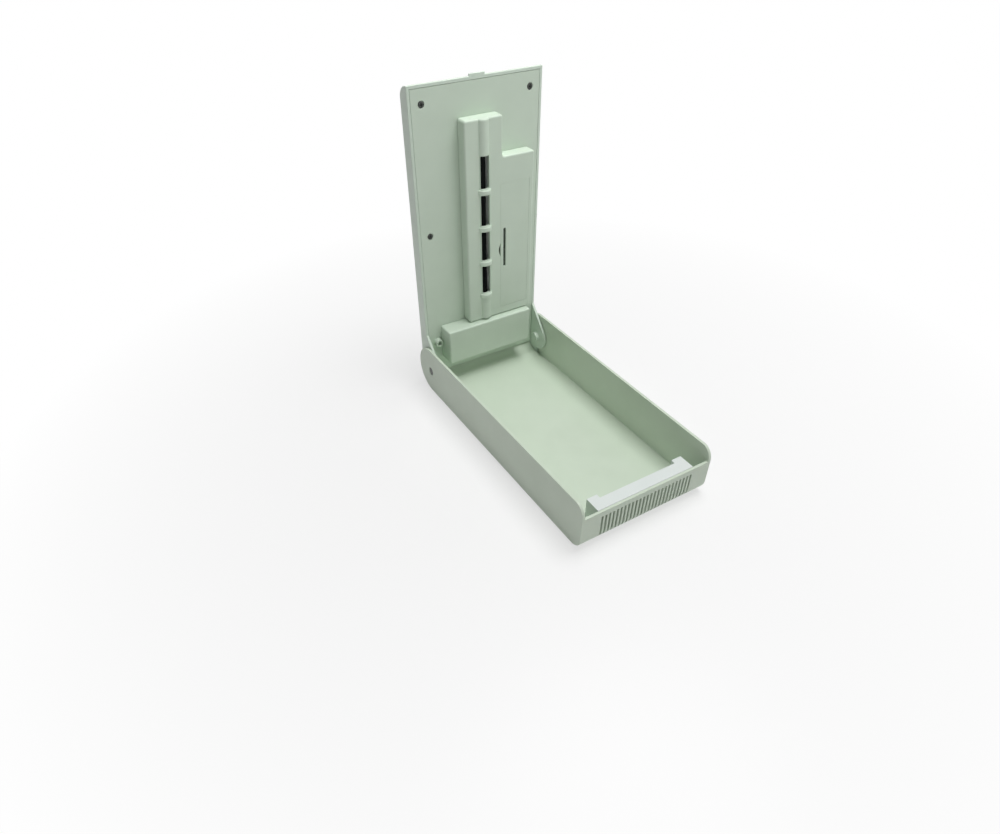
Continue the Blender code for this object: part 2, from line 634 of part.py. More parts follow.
def lid_cover(lid):
    half = LID_HALF_WIDTH
    inside = half - LID_SKIN
    cover = add_object("lid_cover", prism_shape(lid_outline(), -half, half, "X"), lid)
    cut(cover, "hollow", prism_shape(lid_hollow_outline(), -inside, inside, "X"))
    for name, side in (("left", -1), ("right", 1)):
        start = (side * (inside + EMBED), 0, 0)
        boss = rod_shape(start, PIN_BOSS_RADIUS, -side * (PIN_BOSS_LENGTH + EMBED), "X")
        join(cover, "boss_" + name, boss)
        start = (side * (half + CUT_OVERRUN), 0, 0)
        through = LID_SKIN + PIN_BOSS_LENGTH + 2 * CUT_OVERRUN
        cut(cover, "pin_hole_" + name, rod_shape(start, PIN_RADIUS + SEAT_GAP, -side * through, "X"))
    low = (-LIP_WIDTH / 2, -LID_REACH - LIP_PROUD, RIM_Z)
    high = (LIP_WIDTH / 2, -LID_REACH + LID_SKIN / 2, RIM_Z + LIP_THICKNESS)
    join(cover, "lip", box_shape(low, high))
    for name, (x, y) in screw_places().items():
        bottom = LINER_TOP + SEAT_GAP
        length = SKIN_UNDER + EMBED - bottom
        join(cover, "screw_post_" + name, rod_shape((x, y, bottom), SCREW_POST_RADIUS, length, "Z"))
        bore = SCREW_SHANK_RADIUS + SEAT_GAP
        depth = SCREW_LENGTH - LINER_THICKNESS + CUT_OVERRUN
        cut(cover, "pilot_" + name, rod_shape((x, y, bottom - CUT_OVERRUN), bore, depth, "Z"))
    for name, (x, y) in board_places().items():
        bottom = LINER_TOP + BOARD_LIFT + BOARD_THICKNESS + SEAT_GAP
        length = SKIN_UNDER + EMBED - bottom
        join(cover, "board_post_" + name, rod_shape((x, y, bottom), BOARD_POST_RADIUS, length, "Z"))
    middle = (DOOR_LEFT + DOOR_RIGHT) / 2
    for name, s in (("near", DOOR_NEAR_S + HOLDER_RIB_INSET), ("far", DOOR_FAR_S - HOLDER_RIB_INSET)):
        low = (middle - HOLDER_RIB_WIDTH / 2, -s - HOLDER_RIB_THICKNESS / 2, holder_top() + SEAT_GAP)
        high = (middle + HOLDER_RIB_WIDTH / 2, -s + HOLDER_RIB_THICKNESS / 2, SKIN_UNDER + EMBED)
        join(cover, "holder_rib_" + name, box_shape(low, high))
    start = (0, BUTTON_Y - HINGE_Y, SKIN_UNDER - CUT_OVERRUN)
    depth = LID_SKIN + 2 * CUT_OVERRUN
    cut(cover, "button_hole", rod_shape(start, BUTTON_RADIUS + SEAT_GAP, depth, "Z", ROUND_STEPS))
    y = LIGHT_Y - HINGE_Y
    half_long, half_wide = LIGHT_LENGTH / 2 + SEAT_GAP, LIGHT_WIDTH / 2 + SEAT_GAP
    low = (-half_long, y - half_wide, SKIN_UNDER - CUT_OVERRUN)
    high = (half_long, y + half_wide, SKIN_TOP + CUT_OVERRUN)
    cut(cover, "light_slot", box_shape(low, high))
    return dress(cover, MINT_LIGHT, 0.38)


def inset_outline(outline_steps, inset):
    """L-shaped outline of the lamp housing in (x, y), drawn in by inset."""
    left, step_x, right = HOUSING_LEFT + inset, HOUSING_STEP_X - inset, HOUSING_RIGHT - inset
    near, step_s, far = HOUSING_NEAR_S + inset, HOUSING_STEP_S - inset, HOUSING_FAR_S - inset
    corners = [(left, near), (right, near), (right, step_s), (step_x, step_s), (step_x, far), (left, far)]
    return [(x, outline_steps * s) for x, s in corners]


def lid_liner(lid):
    half = LID_HALF_WIDTH - LID_SKIN - SEAT_GAP
    share = LINER_THICKNESS / (SKIN_UNDER - RIM_Z)
    roll_in = (FRONT_ROLL_LENGTH - LID_SKIN) * (1 - math.sqrt(1 - share ** 2))
    front = -LID_REACH + LID_SKIN + roll_in + 2 * SEAT_GAP
    liner = add_object("lid_liner", box_shape((-half, front, RIM_Z), (half, LINER_REAR, LINER_TOP)), lid)
    bay = prism_shape(inset_outline(-1, HOUSING_WALL), RIM_Z - CUT_OVERRUN, LINER_TOP + CUT_OVERRUN, "Z")
    cut(liner, "housing_bay", bay)
    inner = DRIVER_WIDTH / 2 - DRIVER_WALL
    low = (-inner, -HOUSING_NEAR_S + LINER_LEDGE + DRIVER_WALL, RIM_Z - CUT_OVERRUN)
    high = (inner, -DRIVER_NEAR_S - DRIVER_WALL, LINER_TOP + CUT_OVERRUN)
    cut(liner, "driver_bay", box_shape(low, high))
    for name, (x, y) in screw_places().items():
        start = (x, y, RIM_Z - CUT_OVERRUN)
        cut(liner, "screw_hole_" + name,
            rod_shape(start, SCREW_SHANK_RADIUS + SEAT_GAP, LINER_THICKNESS + 2 * CUT_OVERRUN, "Z"))
        cut(liner, "screw_sink_" + name,
            rod_shape(start, SCREW_HEAD_RADIUS + SEAT_GAP, SCREW_HEAD_HEIGHT + SEAT_GAP + CUT_OVERRUN, "Z"))
    start = (LINER_POST_X, -LINER_POST_S, RIM_Z - LINER_POST_HEIGHT)
    join(liner, "post", rod_shape(start, LINER_POST_RADIUS, LINER_POST_HEIGHT + EMBED, "Z"))
    start = (LINER_POST_X, -LINER_POST_S, RIM_Z - LINER_POST_HEIGHT - CUT_OVERRUN)
    cut(liner, "post_bore", rod_shape(start, LINER_POST_BORE, LINER_POST_HEIGHT + CUT_OVERRUN, "Z"))
    return dress(liner, MINT, 0.45)


def window_spans():
    pitch = WINDOW_LENGTH + WINDOW_BRIDGE
    starts = [WINDOW_START_S + i * pitch for i in range(WINDOW_COUNT)]
    return [(start, start + WINDOW_LENGTH) for start in starts]


def ring_places():
    """Middle of each bridge between windows, and the ring at the near end."""
    first = WINDOW_START_S - WINDOW_BRIDGE / 2
    return [first + i * (WINDOW_LENGTH + WINDOW_BRIDGE) for i in range(WINDOW_COUNT)]


def half_round(radius):
    """Half circle in (x, z) about the lamp, bulging out of the housing's face."""
    centre = (LAMP_X, LAMP_Z)
    return arc_points(centre, radius, radius, math.radians(180), math.radians(360), ROUND_STEPS // 2)


def lamp_housing(lid):
    top = RIM_Z - SEAT_GAP
    housing = add_object("lamp_housing", prism_shape(inset_outline(-1, 0), HOUSING_FACE, top, "Z"), lid)
    soften(housing, HOUSING_EDGE, 2)
    sleeve = half_round(SLEEVE_RADIUS)
    far, near = -HOUSING_FAR_S + HOUSING_EDGE, -HOUSING_NEAR_S - HOUSING_EDGE
    join(housing, "sleeve", prism_shape(sleeve, far, near, "Y"))
    for index, s in enumerate(ring_places()):
        band = half_round(SLEEVE_RADIUS + RING_EXTRA)
        far, near = -s - RING_WIDTH / 2, -s + RING_WIDTH / 2
        join(housing, "ring_" + str(index + 1), prism_shape(band, far, near, "Y"))
    inner_face = HOUSING_FACE + HOUSING_WALL
    hollow = prism_shape(inset_outline(-1, HOUSING_WALL), inner_face, SKIN_UNDER, "Z")
    cut(housing, "hollow", hollow)
    bore_start = (LAMP_X, -HOUSING_FAR_S + HOUSING_WALL, LAMP_Z)
    bore_length = HOUSING_FAR_S - HOUSING_NEAR_S - 2 * HOUSING_WALL
    cut(housing, "bore", rod_shape(bore_start, SLEEVE_RADIUS - SLEEVE_WALL, bore_length, "Y", ROUND_STEPS))
    for index, (near, far) in enumerate(window_spans()):
        low = (LAMP_X - WINDOW_WIDTH / 2, -far, LAMP_Z - SLEEVE_RADIUS - CUT_OVERRUN)
        high = (LAMP_X + WINDOW_WIDTH / 2, -near, LAMP_Z)
        cut(housing, "window_" + str(index + 1), box_shape(low, high))
    low = (DOOR_LEFT - SEAT_GAP, -DOOR_FAR_S - SEAT_GAP, HOUSING_FACE - CUT_OVERRUN)
    high = (DOOR_RIGHT + SEAT_GAP, -DOOR_NEAR_S + SEAT_GAP, inner_face + CUT_OVERRUN)
    cut(housing, "door_opening", box_shape(low, high))
    for name, s in door_tab_places().items():
        low = (DOOR_RIGHT, -s - DOOR_TAB_WIDTH / 2 - SEAT_GAP, inner_face)
        high = (
            DOOR_RIGHT + DOOR_TAB_REACH + SEAT_GAP,
            -s + DOOR_TAB_WIDTH / 2 + SEAT_GAP,
            inner_face + SEAT_GAP + DOOR_TAB_THICKNESS + DOOR_TAB_SWING,
        )
        cut(housing, "tab_pocket_" + name, box_shape(low, high))
    radius = ((NOTCH_HEIGHT / 2) ** 2 + NOTCH_REACH ** 2) / (2 * NOTCH_REACH)
    notch_x = DOOR_LEFT - SEAT_GAP - NOTCH_REACH + radius
    centre = (notch_x, NOTCH_OFFSET - DOOR_MIDDLE_S, HOUSING_FACE - CUT_OVERRUN)
    depth = HOUSING_WALL + 2 * CUT_OVERRUN
    cut(housing, "notch", rod_shape(centre, radius, depth, "Z", 2 * ROUND_STEPS))
    return dress(housing, MINT, 0.42)


def uv_lamp(lid):
    end = LAMP_RADIUS * math.sin(math.radians(45))
    length = LAMP_LENGTH
    nose = LAMP_RADIUS - end
    profile = [(0, 0), (end, nose), (LAMP_RADIUS, LAMP_RADIUS)]
    profile += [(LAMP_RADIUS, length - LAMP_RADIUS), (end, length - nose), (0, length)]
    start = (LAMP_X, -LAMP_START_S - LAMP_LENGTH, LAMP_Z)
    lamp = add_object("uv_lamp", turned_shape(profile, start, "Y"), lid)
    dress(lamp, GLASS_DARK, 0.08, smooth=True)


def lamp_caps(lid):
    outer = SLEEVE_RADIUS - SLEEVE_WALL - SEAT_GAP
    bore = LAMP_RADIUS + SEAT_GAP
    near_floor = -LAMP_START_S + SEAT_GAP
    far_floor = -LAMP_START_S - LAMP_LENGTH - SEAT_GAP
    for name, floor, side in (("near", near_floor, 1), ("far", far_floor, -1)):
        start = (LAMP_X, floor + side * CAP_FLOOR, LAMP_Z)
        shape = rod_shape(start, outer, -side * CAP_LENGTH, "Y", ROUND_STEPS)
        cap = add_object("lamp_cap_" + name, shape, lid)
        cup = rod_shape((LAMP_X, floor, LAMP_Z), bore, -side * CAP_LENGTH, "Y", ROUND_STEPS)
        cut(cap, "cup", cup)
        dress(cap, RUBBER, 0.7)


def lamp_reflector(lid):
    half = REFLECTOR_WIDTH / 2
    crown = LAMP_Z + REFLECTOR_BEHIND
    skirt = crown - REFLECTOR_RISE
    foot = HOUSING_FACE + HOUSING_WALL + SEAT_GAP
    thick = REFLECTOR_THICKNESS
    flat = half - REFLECTOR_RISE
    outline = [(-half, foot), (-half, skirt), (-flat, crown), (flat, crown), (half, skirt), (half, foot)]
    outline += [(half + thick, foot), (half + thick, skirt), (flat + thick, crown + thick)]
    outline += [(-flat - thick, crown + thick), (-half - thick, skirt), (-half - thick, foot)]
    placed = [(LAMP_X + x, z) for x, z in outline]
    near = -WINDOW_START_S + REFLECTOR_MARGIN
    far = -WINDOW_END_S - REFLECTOR_MARGIN
    reflector = add_object("lamp_reflector", prism_shape(placed, far, near, "Y"), lid)
    dress(reflector, ALUMINIUM, 0.15, 1.0)


def cell_axis_z():
    return HOUSING_FACE + DOOR_THICKNESS + CELL_LIFT + CELL_RADIUS


def holder_top():
    return cell_axis_z() + CELL_RADIUS + SEAT_GAP + HOLDER_BASE


def holder_span():
    """Inner ends of the holder along the lid, as distances from the hinge."""
    cells = CELL_ROWS * (CELL_LENGTH + CELL_NIPPLE_LENGTH)
    inside = cells + 2 * CONTACT_THICKNESS + CONTACT_DIMPLE + 6 * SEAT_GAP
    return DOOR_MIDDLE_S - inside / 2, DOOR_MIDDLE_S + inside / 2


def cell_columns():
    middle = (DOOR_LEFT + DOOR_RIGHT) / 2
    offset = CELL_RADIUS + SEAT_GAP / 2
    return middle - offset, middle + offset


def battery_holder(lid):
    near, far = holder_span()
    left, right = cell_columns()
    inner_left = left - CELL_RADIUS - SEAT_GAP
    inner_right = right + CELL_RADIUS + SEAT_GAP
    top = holder_top()
    rim = top - HOLDER_RIM_DROP
    low = (inner_left - HOLDER_WALL, -far - HOLDER_END, rim)
    high = (inner_right + HOLDER_WALL, -near + HOLDER_END, top)
    holder = add_object("battery_holder", box_shape(low, high), lid)
    low = (inner_left, -far, rim - CUT_OVERRUN)
    high = (inner_right, -near, top - HOLDER_BASE)
    cut(holder, "bay", box_shape(low, high))
    dress(holder, BLACK_PLASTIC, 0.5)


def battery_cells(lid):
    near = holder_span()[0]
    first = near + CONTACT_THICKNESS + CONTACT_DIMPLE + 2 * SEAT_GAP
    nipple, lip = CELL_NIPPLE_RADIUS, CELL_NIPPLE_LENGTH
    profile = [(0, 0), (nipple, 0), (nipple, lip), (CELL_RADIUS, lip)]
    profile += [(CELL_RADIUS, lip + CELL_LENGTH), (0, lip + CELL_LENGTH)]
    pitch = CELL_LENGTH + CELL_NIPPLE_LENGTH + SEAT_GAP
    number = 0
    for x in cell_columns():
        for row in range(CELL_ROWS):
            number += 1
            far_end = first + row * pitch + CELL_LENGTH + CELL_NIPPLE_LENGTH
            start = (x, -far_end, cell_axis_z())
            cell = add_object("battery_cell_" + str(number), turned_shape(profile, start, "Y"), lid)
            dress(cell, CELL_WRAP, 0.35, 0.3, smooth=True)


def battery_contacts(lid):
    near, far = holder_span()
    left, right = cell_columns()
    z = cell_axis_z()
    half = CONTACT_HEIGHT / 2
    half_wide = CONTACT_WIDTH / 2
    low = (left - half_wide, -near - SEAT_GAP - CONTACT_THICKNESS, z - half)
    high = (right + half_wide, -near - SEAT_GAP, z + half)
    link = add_object("contact_link", box_shape(low, high), lid)
    for name, x in (("left", left), ("right", right)):
        start = (x, -near - SEAT_GAP - EMBED, z)
        dimple = rod_shape(start, CONTACT_DIMPLE_RADIUS, -(CONTACT_THICKNESS - EMBED + CONTACT_DIMPLE), "Y")
        join(link, "dimple_" + name, dimple)
    dress(link, STEEL, 0.3, 1.0)
    for name, x in (("contact_positive", left), ("contact_negative", right)):
        low = (x - half_wide, -far + SEAT_GAP, z - half)
        high = (x + half_wide, -far + SEAT_GAP + CONTACT_THICKNESS, z + half)
        dress(add_object(name, box_shape(low, high), lid), STEEL, 0.3, 1.0)


def door_tab_places():
    """The tabs of the door's pivot edge, as distances from the lid's hinge."""
    return {"near": DOOR_NEAR_S + DOOR_TAB_INSET, "far": DOOR_FAR_S - DOOR_TAB_INSET}


def battery_door(lid):
    hinge = bpy.data.objects.new("battery_door_hinge", None)
    bpy.context.scene.collection.objects.link(hinge)
    hinge.parent = lid
    hinge.location = (DOOR_RIGHT, -DOOR_NEAR_S, HOUSING_FACE)
    width = DOOR_RIGHT - DOOR_LEFT
    length = DOOR_FAR_S - DOOR_NEAR_S
    door = add_object("battery_door", box_shape((-width, -length, 0), (0, 0, DOOR_THICKNESS)), hinge)
    under = HOUSING_WALL + SEAT_GAP
    for name, s in door_tab_places().items():
        y = DOOR_NEAR_S - s
        low = (-DOOR_TAB_ROOT, y - DOOR_TAB_WIDTH / 2, DOOR_THICKNESS - EMBED)
        high = (0, y + DOOR_TAB_WIDTH / 2, under + DOOR_TAB_THICKNESS)
        join(door, "tab_root_" + name, box_shape(low, high))
        low = (-DOOR_TAB_ROOT, y - DOOR_TAB_WIDTH / 2, under)
        high = (DOOR_TAB_REACH, y + DOOR_TAB_WIDTH / 2, under + DOOR_TAB_THICKNESS)
        join(door, "tab_" + name, box_shape(low, high))
    middle_x = -width + DOOR_SLOT_INSET
    middle_y = DOOR_NEAR_S - DOOR_MIDDLE_S - DOOR_SLOT_OFFSET
    half_slot = DOOR_SLOT_LENGTH / 2
    low = (middle_x - DOOR_SLOT_WIDTH / 2, middle_y - half_slot, -CUT_OVERRUN)
    high = (middle_x + DOOR_SLOT_WIDTH / 2, middle_y + half_slot, DOOR_THICKNESS + CUT_OVERRUN)
    cut(door, "slot", box_shape(low, high))
    dress(door, MINT, 0.42)


def driver_cover(lid):
    half = DRIVER_WIDTH / 2
    face = RIM_Z - DRIVER_DEPTH
    near, far = -DRIVER_NEAR_S, -DRIVER_FAR_S
    cover = add_object("driver_cover", box_shape((-half, far, face), (half, near, RIM_Z - SEAT_GAP)), lid)
    soften(cover, DRIVER_EDGE, 2)
    low = (-half + DRIVER_WALL, far + DRIVER_WALL, face + DRIVER_WALL)
    high = (half - DRIVER_WALL, near - DRIVER_WALL, RIM_Z + CUT_OVERRUN)
    cut(cover, "hollow", box_shape(low, high))
    dress(cover, MINT, 0.42)


def inverter(lid):
    half = DRIVER_WIDTH / 2 - DRIVER_WALL - INVERTER_BOARD_MARGIN
    near = -DRIVER_NEAR_S - DRIVER_WALL - INVERTER_BOARD_MARGIN
    far = -DRIVER_FAR_S + DRIVER_WALL + INVERTER_BOARD_MARGIN
    bottom = RIM_Z - DRIVER_DEPTH + DRIVER_WALL + SEAT_GAP
    top = bottom + BOARD_THICKNESS
    board = add_object("inverter_board", box_shape((-half, far, bottom), (half, near, top)), lid)
    dress(board, BOARD_GREEN, 0.4)
    middle = (near + far) / 2
    low = (-TRANSFORMER_WIDTH / 2, middle - TRANSFORMER_LENGTH / 2, top + SEAT_GAP)
    high = (TRANSFORMER_WIDTH / 2, middle + TRANSFORMER_LENGTH / 2, top + SEAT_GAP + TRANSFORMER_HEIGHT)
    dress(add_object("inverter_transformer", box_shape(low, high), lid), FERRITE, 0.5)
    start = (CAPACITOR_X, middle - CAPACITOR_LENGTH / 2, top + SEAT_GAP + CAPACITOR_RADIUS)
    shape = rod_shape(start, CAPACITOR_RADIUS, CAPACITOR_LENGTH, "Y")
    capacitor = add_object("inverter_capacitor", shape, lid)
    dress(capacitor, BLACK_PLASTIC, 0.3, smooth=True)


def control_board(lid):
    near, far = board_span()
    bottom = LINER_TOP + BOARD_LIFT
    top = bottom + BOARD_THICKNESS
    shape = box_shape((BOARD_LEFT, near, bottom), (BOARD_RIGHT, far, top))
    board = add_object("control_board", shape, lid)
    dress(board, BOARD_GREEN, 0.4)
    y = BUTTON_Y - HINGE_Y
    half = SWITCH_SIZE / 2
    base_top = top + SEAT_GAP + SWITCH_HEIGHT
    shape = box_shape((-half, y - half, top + SEAT_GAP), (half, y + half, base_top))
    base = add_object("switch_base", shape, lid)
    start = (0, y, base_top - PLUNGER_BORE_DEPTH)
    depth = PLUNGER_BORE_DEPTH + CUT_OVERRUN
    cut(base, "bore", rod_shape(start, PLUNGER_RADIUS + SEAT_GAP, depth, "Z"))
    dress(base, BLACK_PLASTIC, 0.5)
    y = LIGHT_Y - HINGE_Y
    low = (-LIGHT_LENGTH / 2, y - LIGHT_WIDTH / 2, SKIN_TOP - LIGHT_PIPE_DEPTH)
    high = (LIGHT_LENGTH / 2, y + LIGHT_WIDTH / 2, SKIN_TOP)
    dress(add_object("status_light", box_shape(low, high), lid), CLEAR_PIPE, 0.2)


def power_button(lid):
    guide = bpy.data.objects.new("power_button_axis", None)
    bpy.context.scene.collection.objects.link(guide)
    guide.parent = lid
    guide.location = (0, BUTTON_Y - HINGE_Y, SKIN_TOP)
    under = -LID_SKIN - SEAT_GAP
    rim = BUTTON_RADIUS + BUTTON_FLANGE_EXTRA
    profile = [(0, under - BUTTON_FLANGE), (rim, under - BUTTON_FLANGE), (rim, under)]
    profile += [(BUTTON_RADIUS, under), (BUTTON_RADIUS, 0), (0, 0)]
    button = add_object("power_button", turned_shape(profile, (0, 0, 0), "Z", ROUND_STEPS), guide)
    dress(button, MINT_LIGHT, 0.38, smooth=True)
    top = under - BUTTON_FLANGE - SEAT_GAP
    shape = rod_shape((0, 0, top - PLUNGER_LENGTH), PLUNGER_RADIUS, PLUNGER_LENGTH, "Z")
    plunger = add_object("switch_plunger", shape, guide)
    dress(plunger, BLACK_PLASTIC, 0.5, smooth=True)


def liner_screws(lid):
    for name, (x, y) in screw_places().items():
        head, shank = SCREW_HEAD_RADIUS, SCREW_SHANK_RADIUS
        profile = [(0, 0), (head, 0), (head, SCREW_HEAD_HEIGHT), (shank, SCREW_HEAD_HEIGHT)]
        profile += [(shank, SCREW_LENGTH), (0, SCREW_LENGTH)]
        screw = add_object("liner_screw_" + name, turned_shape(profile, (x, y, RIM_Z), "Z"), lid)
        dress(screw, STEEL, 0.4, 1.0, smooth=True)


def reed_switch(lid):
    start = (REED_X - REED_LENGTH / 2, -REED_S, LINER_TOP + SEAT_GAP + REED_RADIUS)
    reed = add_object("reed_switch", rod_shape(start, REED_RADIUS, REED_LENGTH, "X"), lid)
    dress(reed, CLEAR_PIPE, 0.1, smooth=True)


def open_lid_frame():
    lid = bpy.data.objects.new("lid_hinge", None)
    bpy.context.scene.collection.objects.link(lid)
    lid.location = (0, HINGE_Y, HINGE_Z)
    lid.rotation_euler = (-LID_OPEN_ANGLE, 0, 0)
    return lid


def build():
    clear_scene()
    tray_shell()
    vent_baffle()
    tray_magnet()
    feet()
    hinge_pins()
    lid = open_lid_frame()
    lid_cover(lid)
    lid_liner(lid)
    lamp_housing(lid)
    uv_lamp(lid)
    lamp_caps(lid)
    lamp_reflector(lid)
    battery_holder(lid)
    battery_cells(lid)
    battery_contacts(lid)
    battery_door(lid)
    driver_cover(lid)
    inverter(lid)
    control_board(lid)
    power_button(lid)
    liner_screws(lid)
    reed_switch(lid)
    bpy.context.view_layer.update()


build()
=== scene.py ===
"""Looks of the clamshell sanitizer box: its moulded shells, lamp, screws and finishes."""
import math

import bmesh
import bpy
from mathutils import Matrix, Vector


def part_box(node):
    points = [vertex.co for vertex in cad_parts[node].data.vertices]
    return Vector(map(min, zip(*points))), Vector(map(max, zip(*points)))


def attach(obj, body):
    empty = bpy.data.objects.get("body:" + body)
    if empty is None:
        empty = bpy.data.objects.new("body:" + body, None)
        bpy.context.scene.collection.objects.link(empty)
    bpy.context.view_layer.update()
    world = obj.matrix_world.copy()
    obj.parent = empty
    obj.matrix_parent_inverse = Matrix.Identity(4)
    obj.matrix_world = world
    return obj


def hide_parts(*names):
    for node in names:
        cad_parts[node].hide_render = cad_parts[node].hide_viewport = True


MM = 0.001
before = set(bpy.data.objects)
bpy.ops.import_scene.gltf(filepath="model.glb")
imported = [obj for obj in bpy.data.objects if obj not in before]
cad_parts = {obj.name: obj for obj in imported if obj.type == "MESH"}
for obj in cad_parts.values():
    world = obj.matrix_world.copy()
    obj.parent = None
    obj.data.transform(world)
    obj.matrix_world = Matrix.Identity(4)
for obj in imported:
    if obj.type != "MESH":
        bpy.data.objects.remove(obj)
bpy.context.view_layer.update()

# Box and hinge, read from the tray's corners
TRAY_LOW, TRAY_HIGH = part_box("tray_shell")
HALF_WIDTH = TRAY_HIGH.x
FRONT = TRAY_LOW.y
REAR = TRAY_HIGH.y
BOTTOM = TRAY_LOW.z
TOP = TRAY_HIGH.z
REAR_RADIUS = (TOP - BOTTOM) / 2
HINGE_Y = REAR - REAR_RADIUS
HINGE_Z = BOTTOM + REAR_RADIUS
LID_EDGE_DEPTH = 10 * MM
FRONT_WALL_TOP = TOP - LID_EDGE_DEPTH

# Walls, gaps and roundings of the tray
WALL = 2 * MM
GAP = 0.3 * MM
OVERRUN = 1 * MM
EMBED = 0.5 * MM
SAME_PLACE = EMBED / 100
AXIS_MERGE = EMBED / 500
WELD_DISTANCE = 0.004 * MM
FRONT_BOTTOM_RADIUS = 9 * MM
FRONT_ROLL = 8 * MM
SIDE_BOTTOM_RADIUS = 3 * MM
SIDE_EDGE_RADIUS = 0.6 * MM
SIDE_EDGE_FADE = 8 * MM
RIM_EDGE = 0.28 * MM
RIM_ANGLE = 60
SKIRT_GAP = 0.6 * MM
BARREL_WALL = 1.6 * MM
BARREL_TOP = 20
BARREL_CLEAR = 6
BARREL_RAMP = 8 * MM
BARREL_OUTER = REAR_RADIUS - WALL - SKIRT_GAP
BARREL_INNER = BARREL_OUTER - BARREL_WALL
SLOT_COUNT = 25
SLOT_PITCH = 3 * MM
SLOT_WIDTH = 1.35 * MM
SLOT_LOW = 6 * MM
SLOT_HIGH = FRONT_WALL_TOP - 4.2 * MM
SLOT_DEPTH = 6.5 * MM
SLOT_CHAMFER = 0.2 * MM
PIN_RADIUS = 2 * MM
PIN_HEAD_RADIUS = 2.9 * MM
PIN_HEAD_HEIGHT = 0.8 * MM
PIN_RECESS = 1.4 * MM
PIN_DOME = 0.3 * MM
FOOT_RADIUS = 4.5 * MM
FOOT_POCKET = 1.1 * MM
FOOT_EDGE = 0.35 * MM

# Baffle behind the slots
BAFFLE_WALL = 1.6 * MM
BAFFLE_TAB_WIDTH = 8 * MM
BAFFLE_TAB_DEPTH = 3.2 * MM
BAFFLE_EDGE = 0.35 * MM
BAFFLE_TOP_EDGE = 0.12 * MM
BAFFLE_SEAM = 0.08 * MM


def lid_box(name):
    """A node's corners in the closed lid's frame, whose origin is the hinge axis."""
    low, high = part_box(name)
    near, far = HINGE_Z - low.z, HINGE_Z - high.z
    return Vector((low.x, far, low.y - HINGE_Y)), Vector((high.x, near, high.y - HINGE_Y))


# Places on the lid. Y runs from the front edge, which is negative, to the hinge.
COVER_HIGH = lid_box("lid_cover")[1]
LINER_LOW, LINER_HIGH = lid_box("lid_liner")
HOUSING_LOW, HOUSING_HIGH = lid_box("lamp_housing")
DOOR_LOW, DOOR_HIGH = lid_box("battery_door")
DRIVER_LOW, DRIVER_HIGH = lid_box("driver_cover")
LAMP_LOW, LAMP_HIGH = lid_box("uv_lamp")
BUTTON_LOW, BUTTON_HIGH = lid_box("power_button")
LIGHT_LOW, LIGHT_HIGH = lid_box("status_light")
LID_HALF = COVER_HIGH.x
LID_REACH = HINGE_Y - FRONT
RIM_Z = FRONT_WALL_TOP + GAP - HINGE_Z
SKIN = 2 * MM
SKIN_TOP = REAR_RADIUS
SKIN_UNDER = SKIN_TOP - SKIN
COVER_EDGE = 0.5 * MM
CHEEK_RADIUS = 11 * MM
CHEEK_CUT = -138
PIN_BOSS_RADIUS = 3.8 * MM
PIN_BOSS_LENGTH = 3 * MM
PIN_BOSS_EDGE = 0.4 * MM
PIN_BOSS_CAP = 0.7 * MM
LIP_WIDTH = 11.5 * MM
LIP_PROUD = 1.5 * MM
LIP_THICKNESS = 1.2 * MM
LIP_EDGE = 0.4 * MM
HOLE_FLARE = 0.25 * MM
SCREW_HOLE_FLARE = 0.5 * MM

# Liner
LINER_TOP = LINER_HIGH.z
LINER_THICKNESS = LINER_TOP - RIM_Z
LINER_EDGE = 0.18 * MM
LINER_LEDGE = 1.6 * MM
LINER_SIDE_SEAM = 0.22 * MM
LINER_TOP_SEAM = 0.28 * MM
POST_RADIUS = 3.2 * MM
POST_BORE = 1.5 * MM
POST_EDGE = 0.5 * MM
POST_X = DRIVER_LOW.x - 3.7 * MM
POST_Y = -18.5 * MM
SCREW_X = LID_HALF - 9.5 * MM
SCREW_ROWS = {"near": -103 * MM, "far": -(LID_REACH - 11.4 * MM)}
SCREW_HEAD_RADIUS = 1.85 * MM
SCREW_HEAD_HEIGHT = 0.9 * MM
SCREW_SHANK_RADIUS = 1 * MM
SCREW_LENGTH = 5.5 * MM
SCREW_EDGE = 0.3 * MM
SCREW_POST_RADIUS = 3 * MM
SCREW_CROSS = 2.7 * MM
SCREW_CROSS_WIDTH = 0.8 * MM
SCREW_CROSS_DEPTH = 1.3 * MM

# Lamp housing
HOUSING_FACE = DOOR_LOW.z
HOUSING_TOP = HOUSING_HIGH.z
HOUSING_WALL = 1.6 * MM
HOUSING_STEP_X = HOUSING_HIGH.x - 25.6 * MM
HOUSING_STEP_Y = DOOR_LOW.y - 18 * MM
HOUSING_CORNER = 1.6 * MM
HOUSING_EDGE = 1.3 * MM
LAMP_X = (LAMP_LOW.x + LAMP_HIGH.x) / 2
LAMP_Z = (LAMP_LOW.z + LAMP_HIGH.z) / 2
LAMP_RADIUS = (LAMP_HIGH.x - LAMP_LOW.x) / 2
SLEEVE_FRONT = LAMP_Z - 5.8 * MM
SLEEVE_RADIUS = 4.4 * MM
SLEEVE_Z = SLEEVE_FRONT + SLEEVE_RADIUS
SLEEVE_BORE = 3.4 * MM
CAP_BORE = 4.4 * MM
WINDOW_COUNT = 4
WINDOW_START = -54 * MM
WINDOW_END = HOUSING_LOW.y + 22.7 * MM
WINDOW_BRIDGE = 3.9 * MM
WINDOW_WIDTH = 6.8 * MM
WINDOW_CORNER = 0.6 * MM
WINDOW_LENGTH = (WINDOW_START - WINDOW_END - (WINDOW_COUNT - 1) * WINDOW_BRIDGE) / WINDOW_COUNT
RING_EXTRA = 1.1 * MM
RING_WIDTH = 3.3 * MM
RING_EDGE = 0.7 * MM
SLEEVE_END_DROP = 0.05 * MM

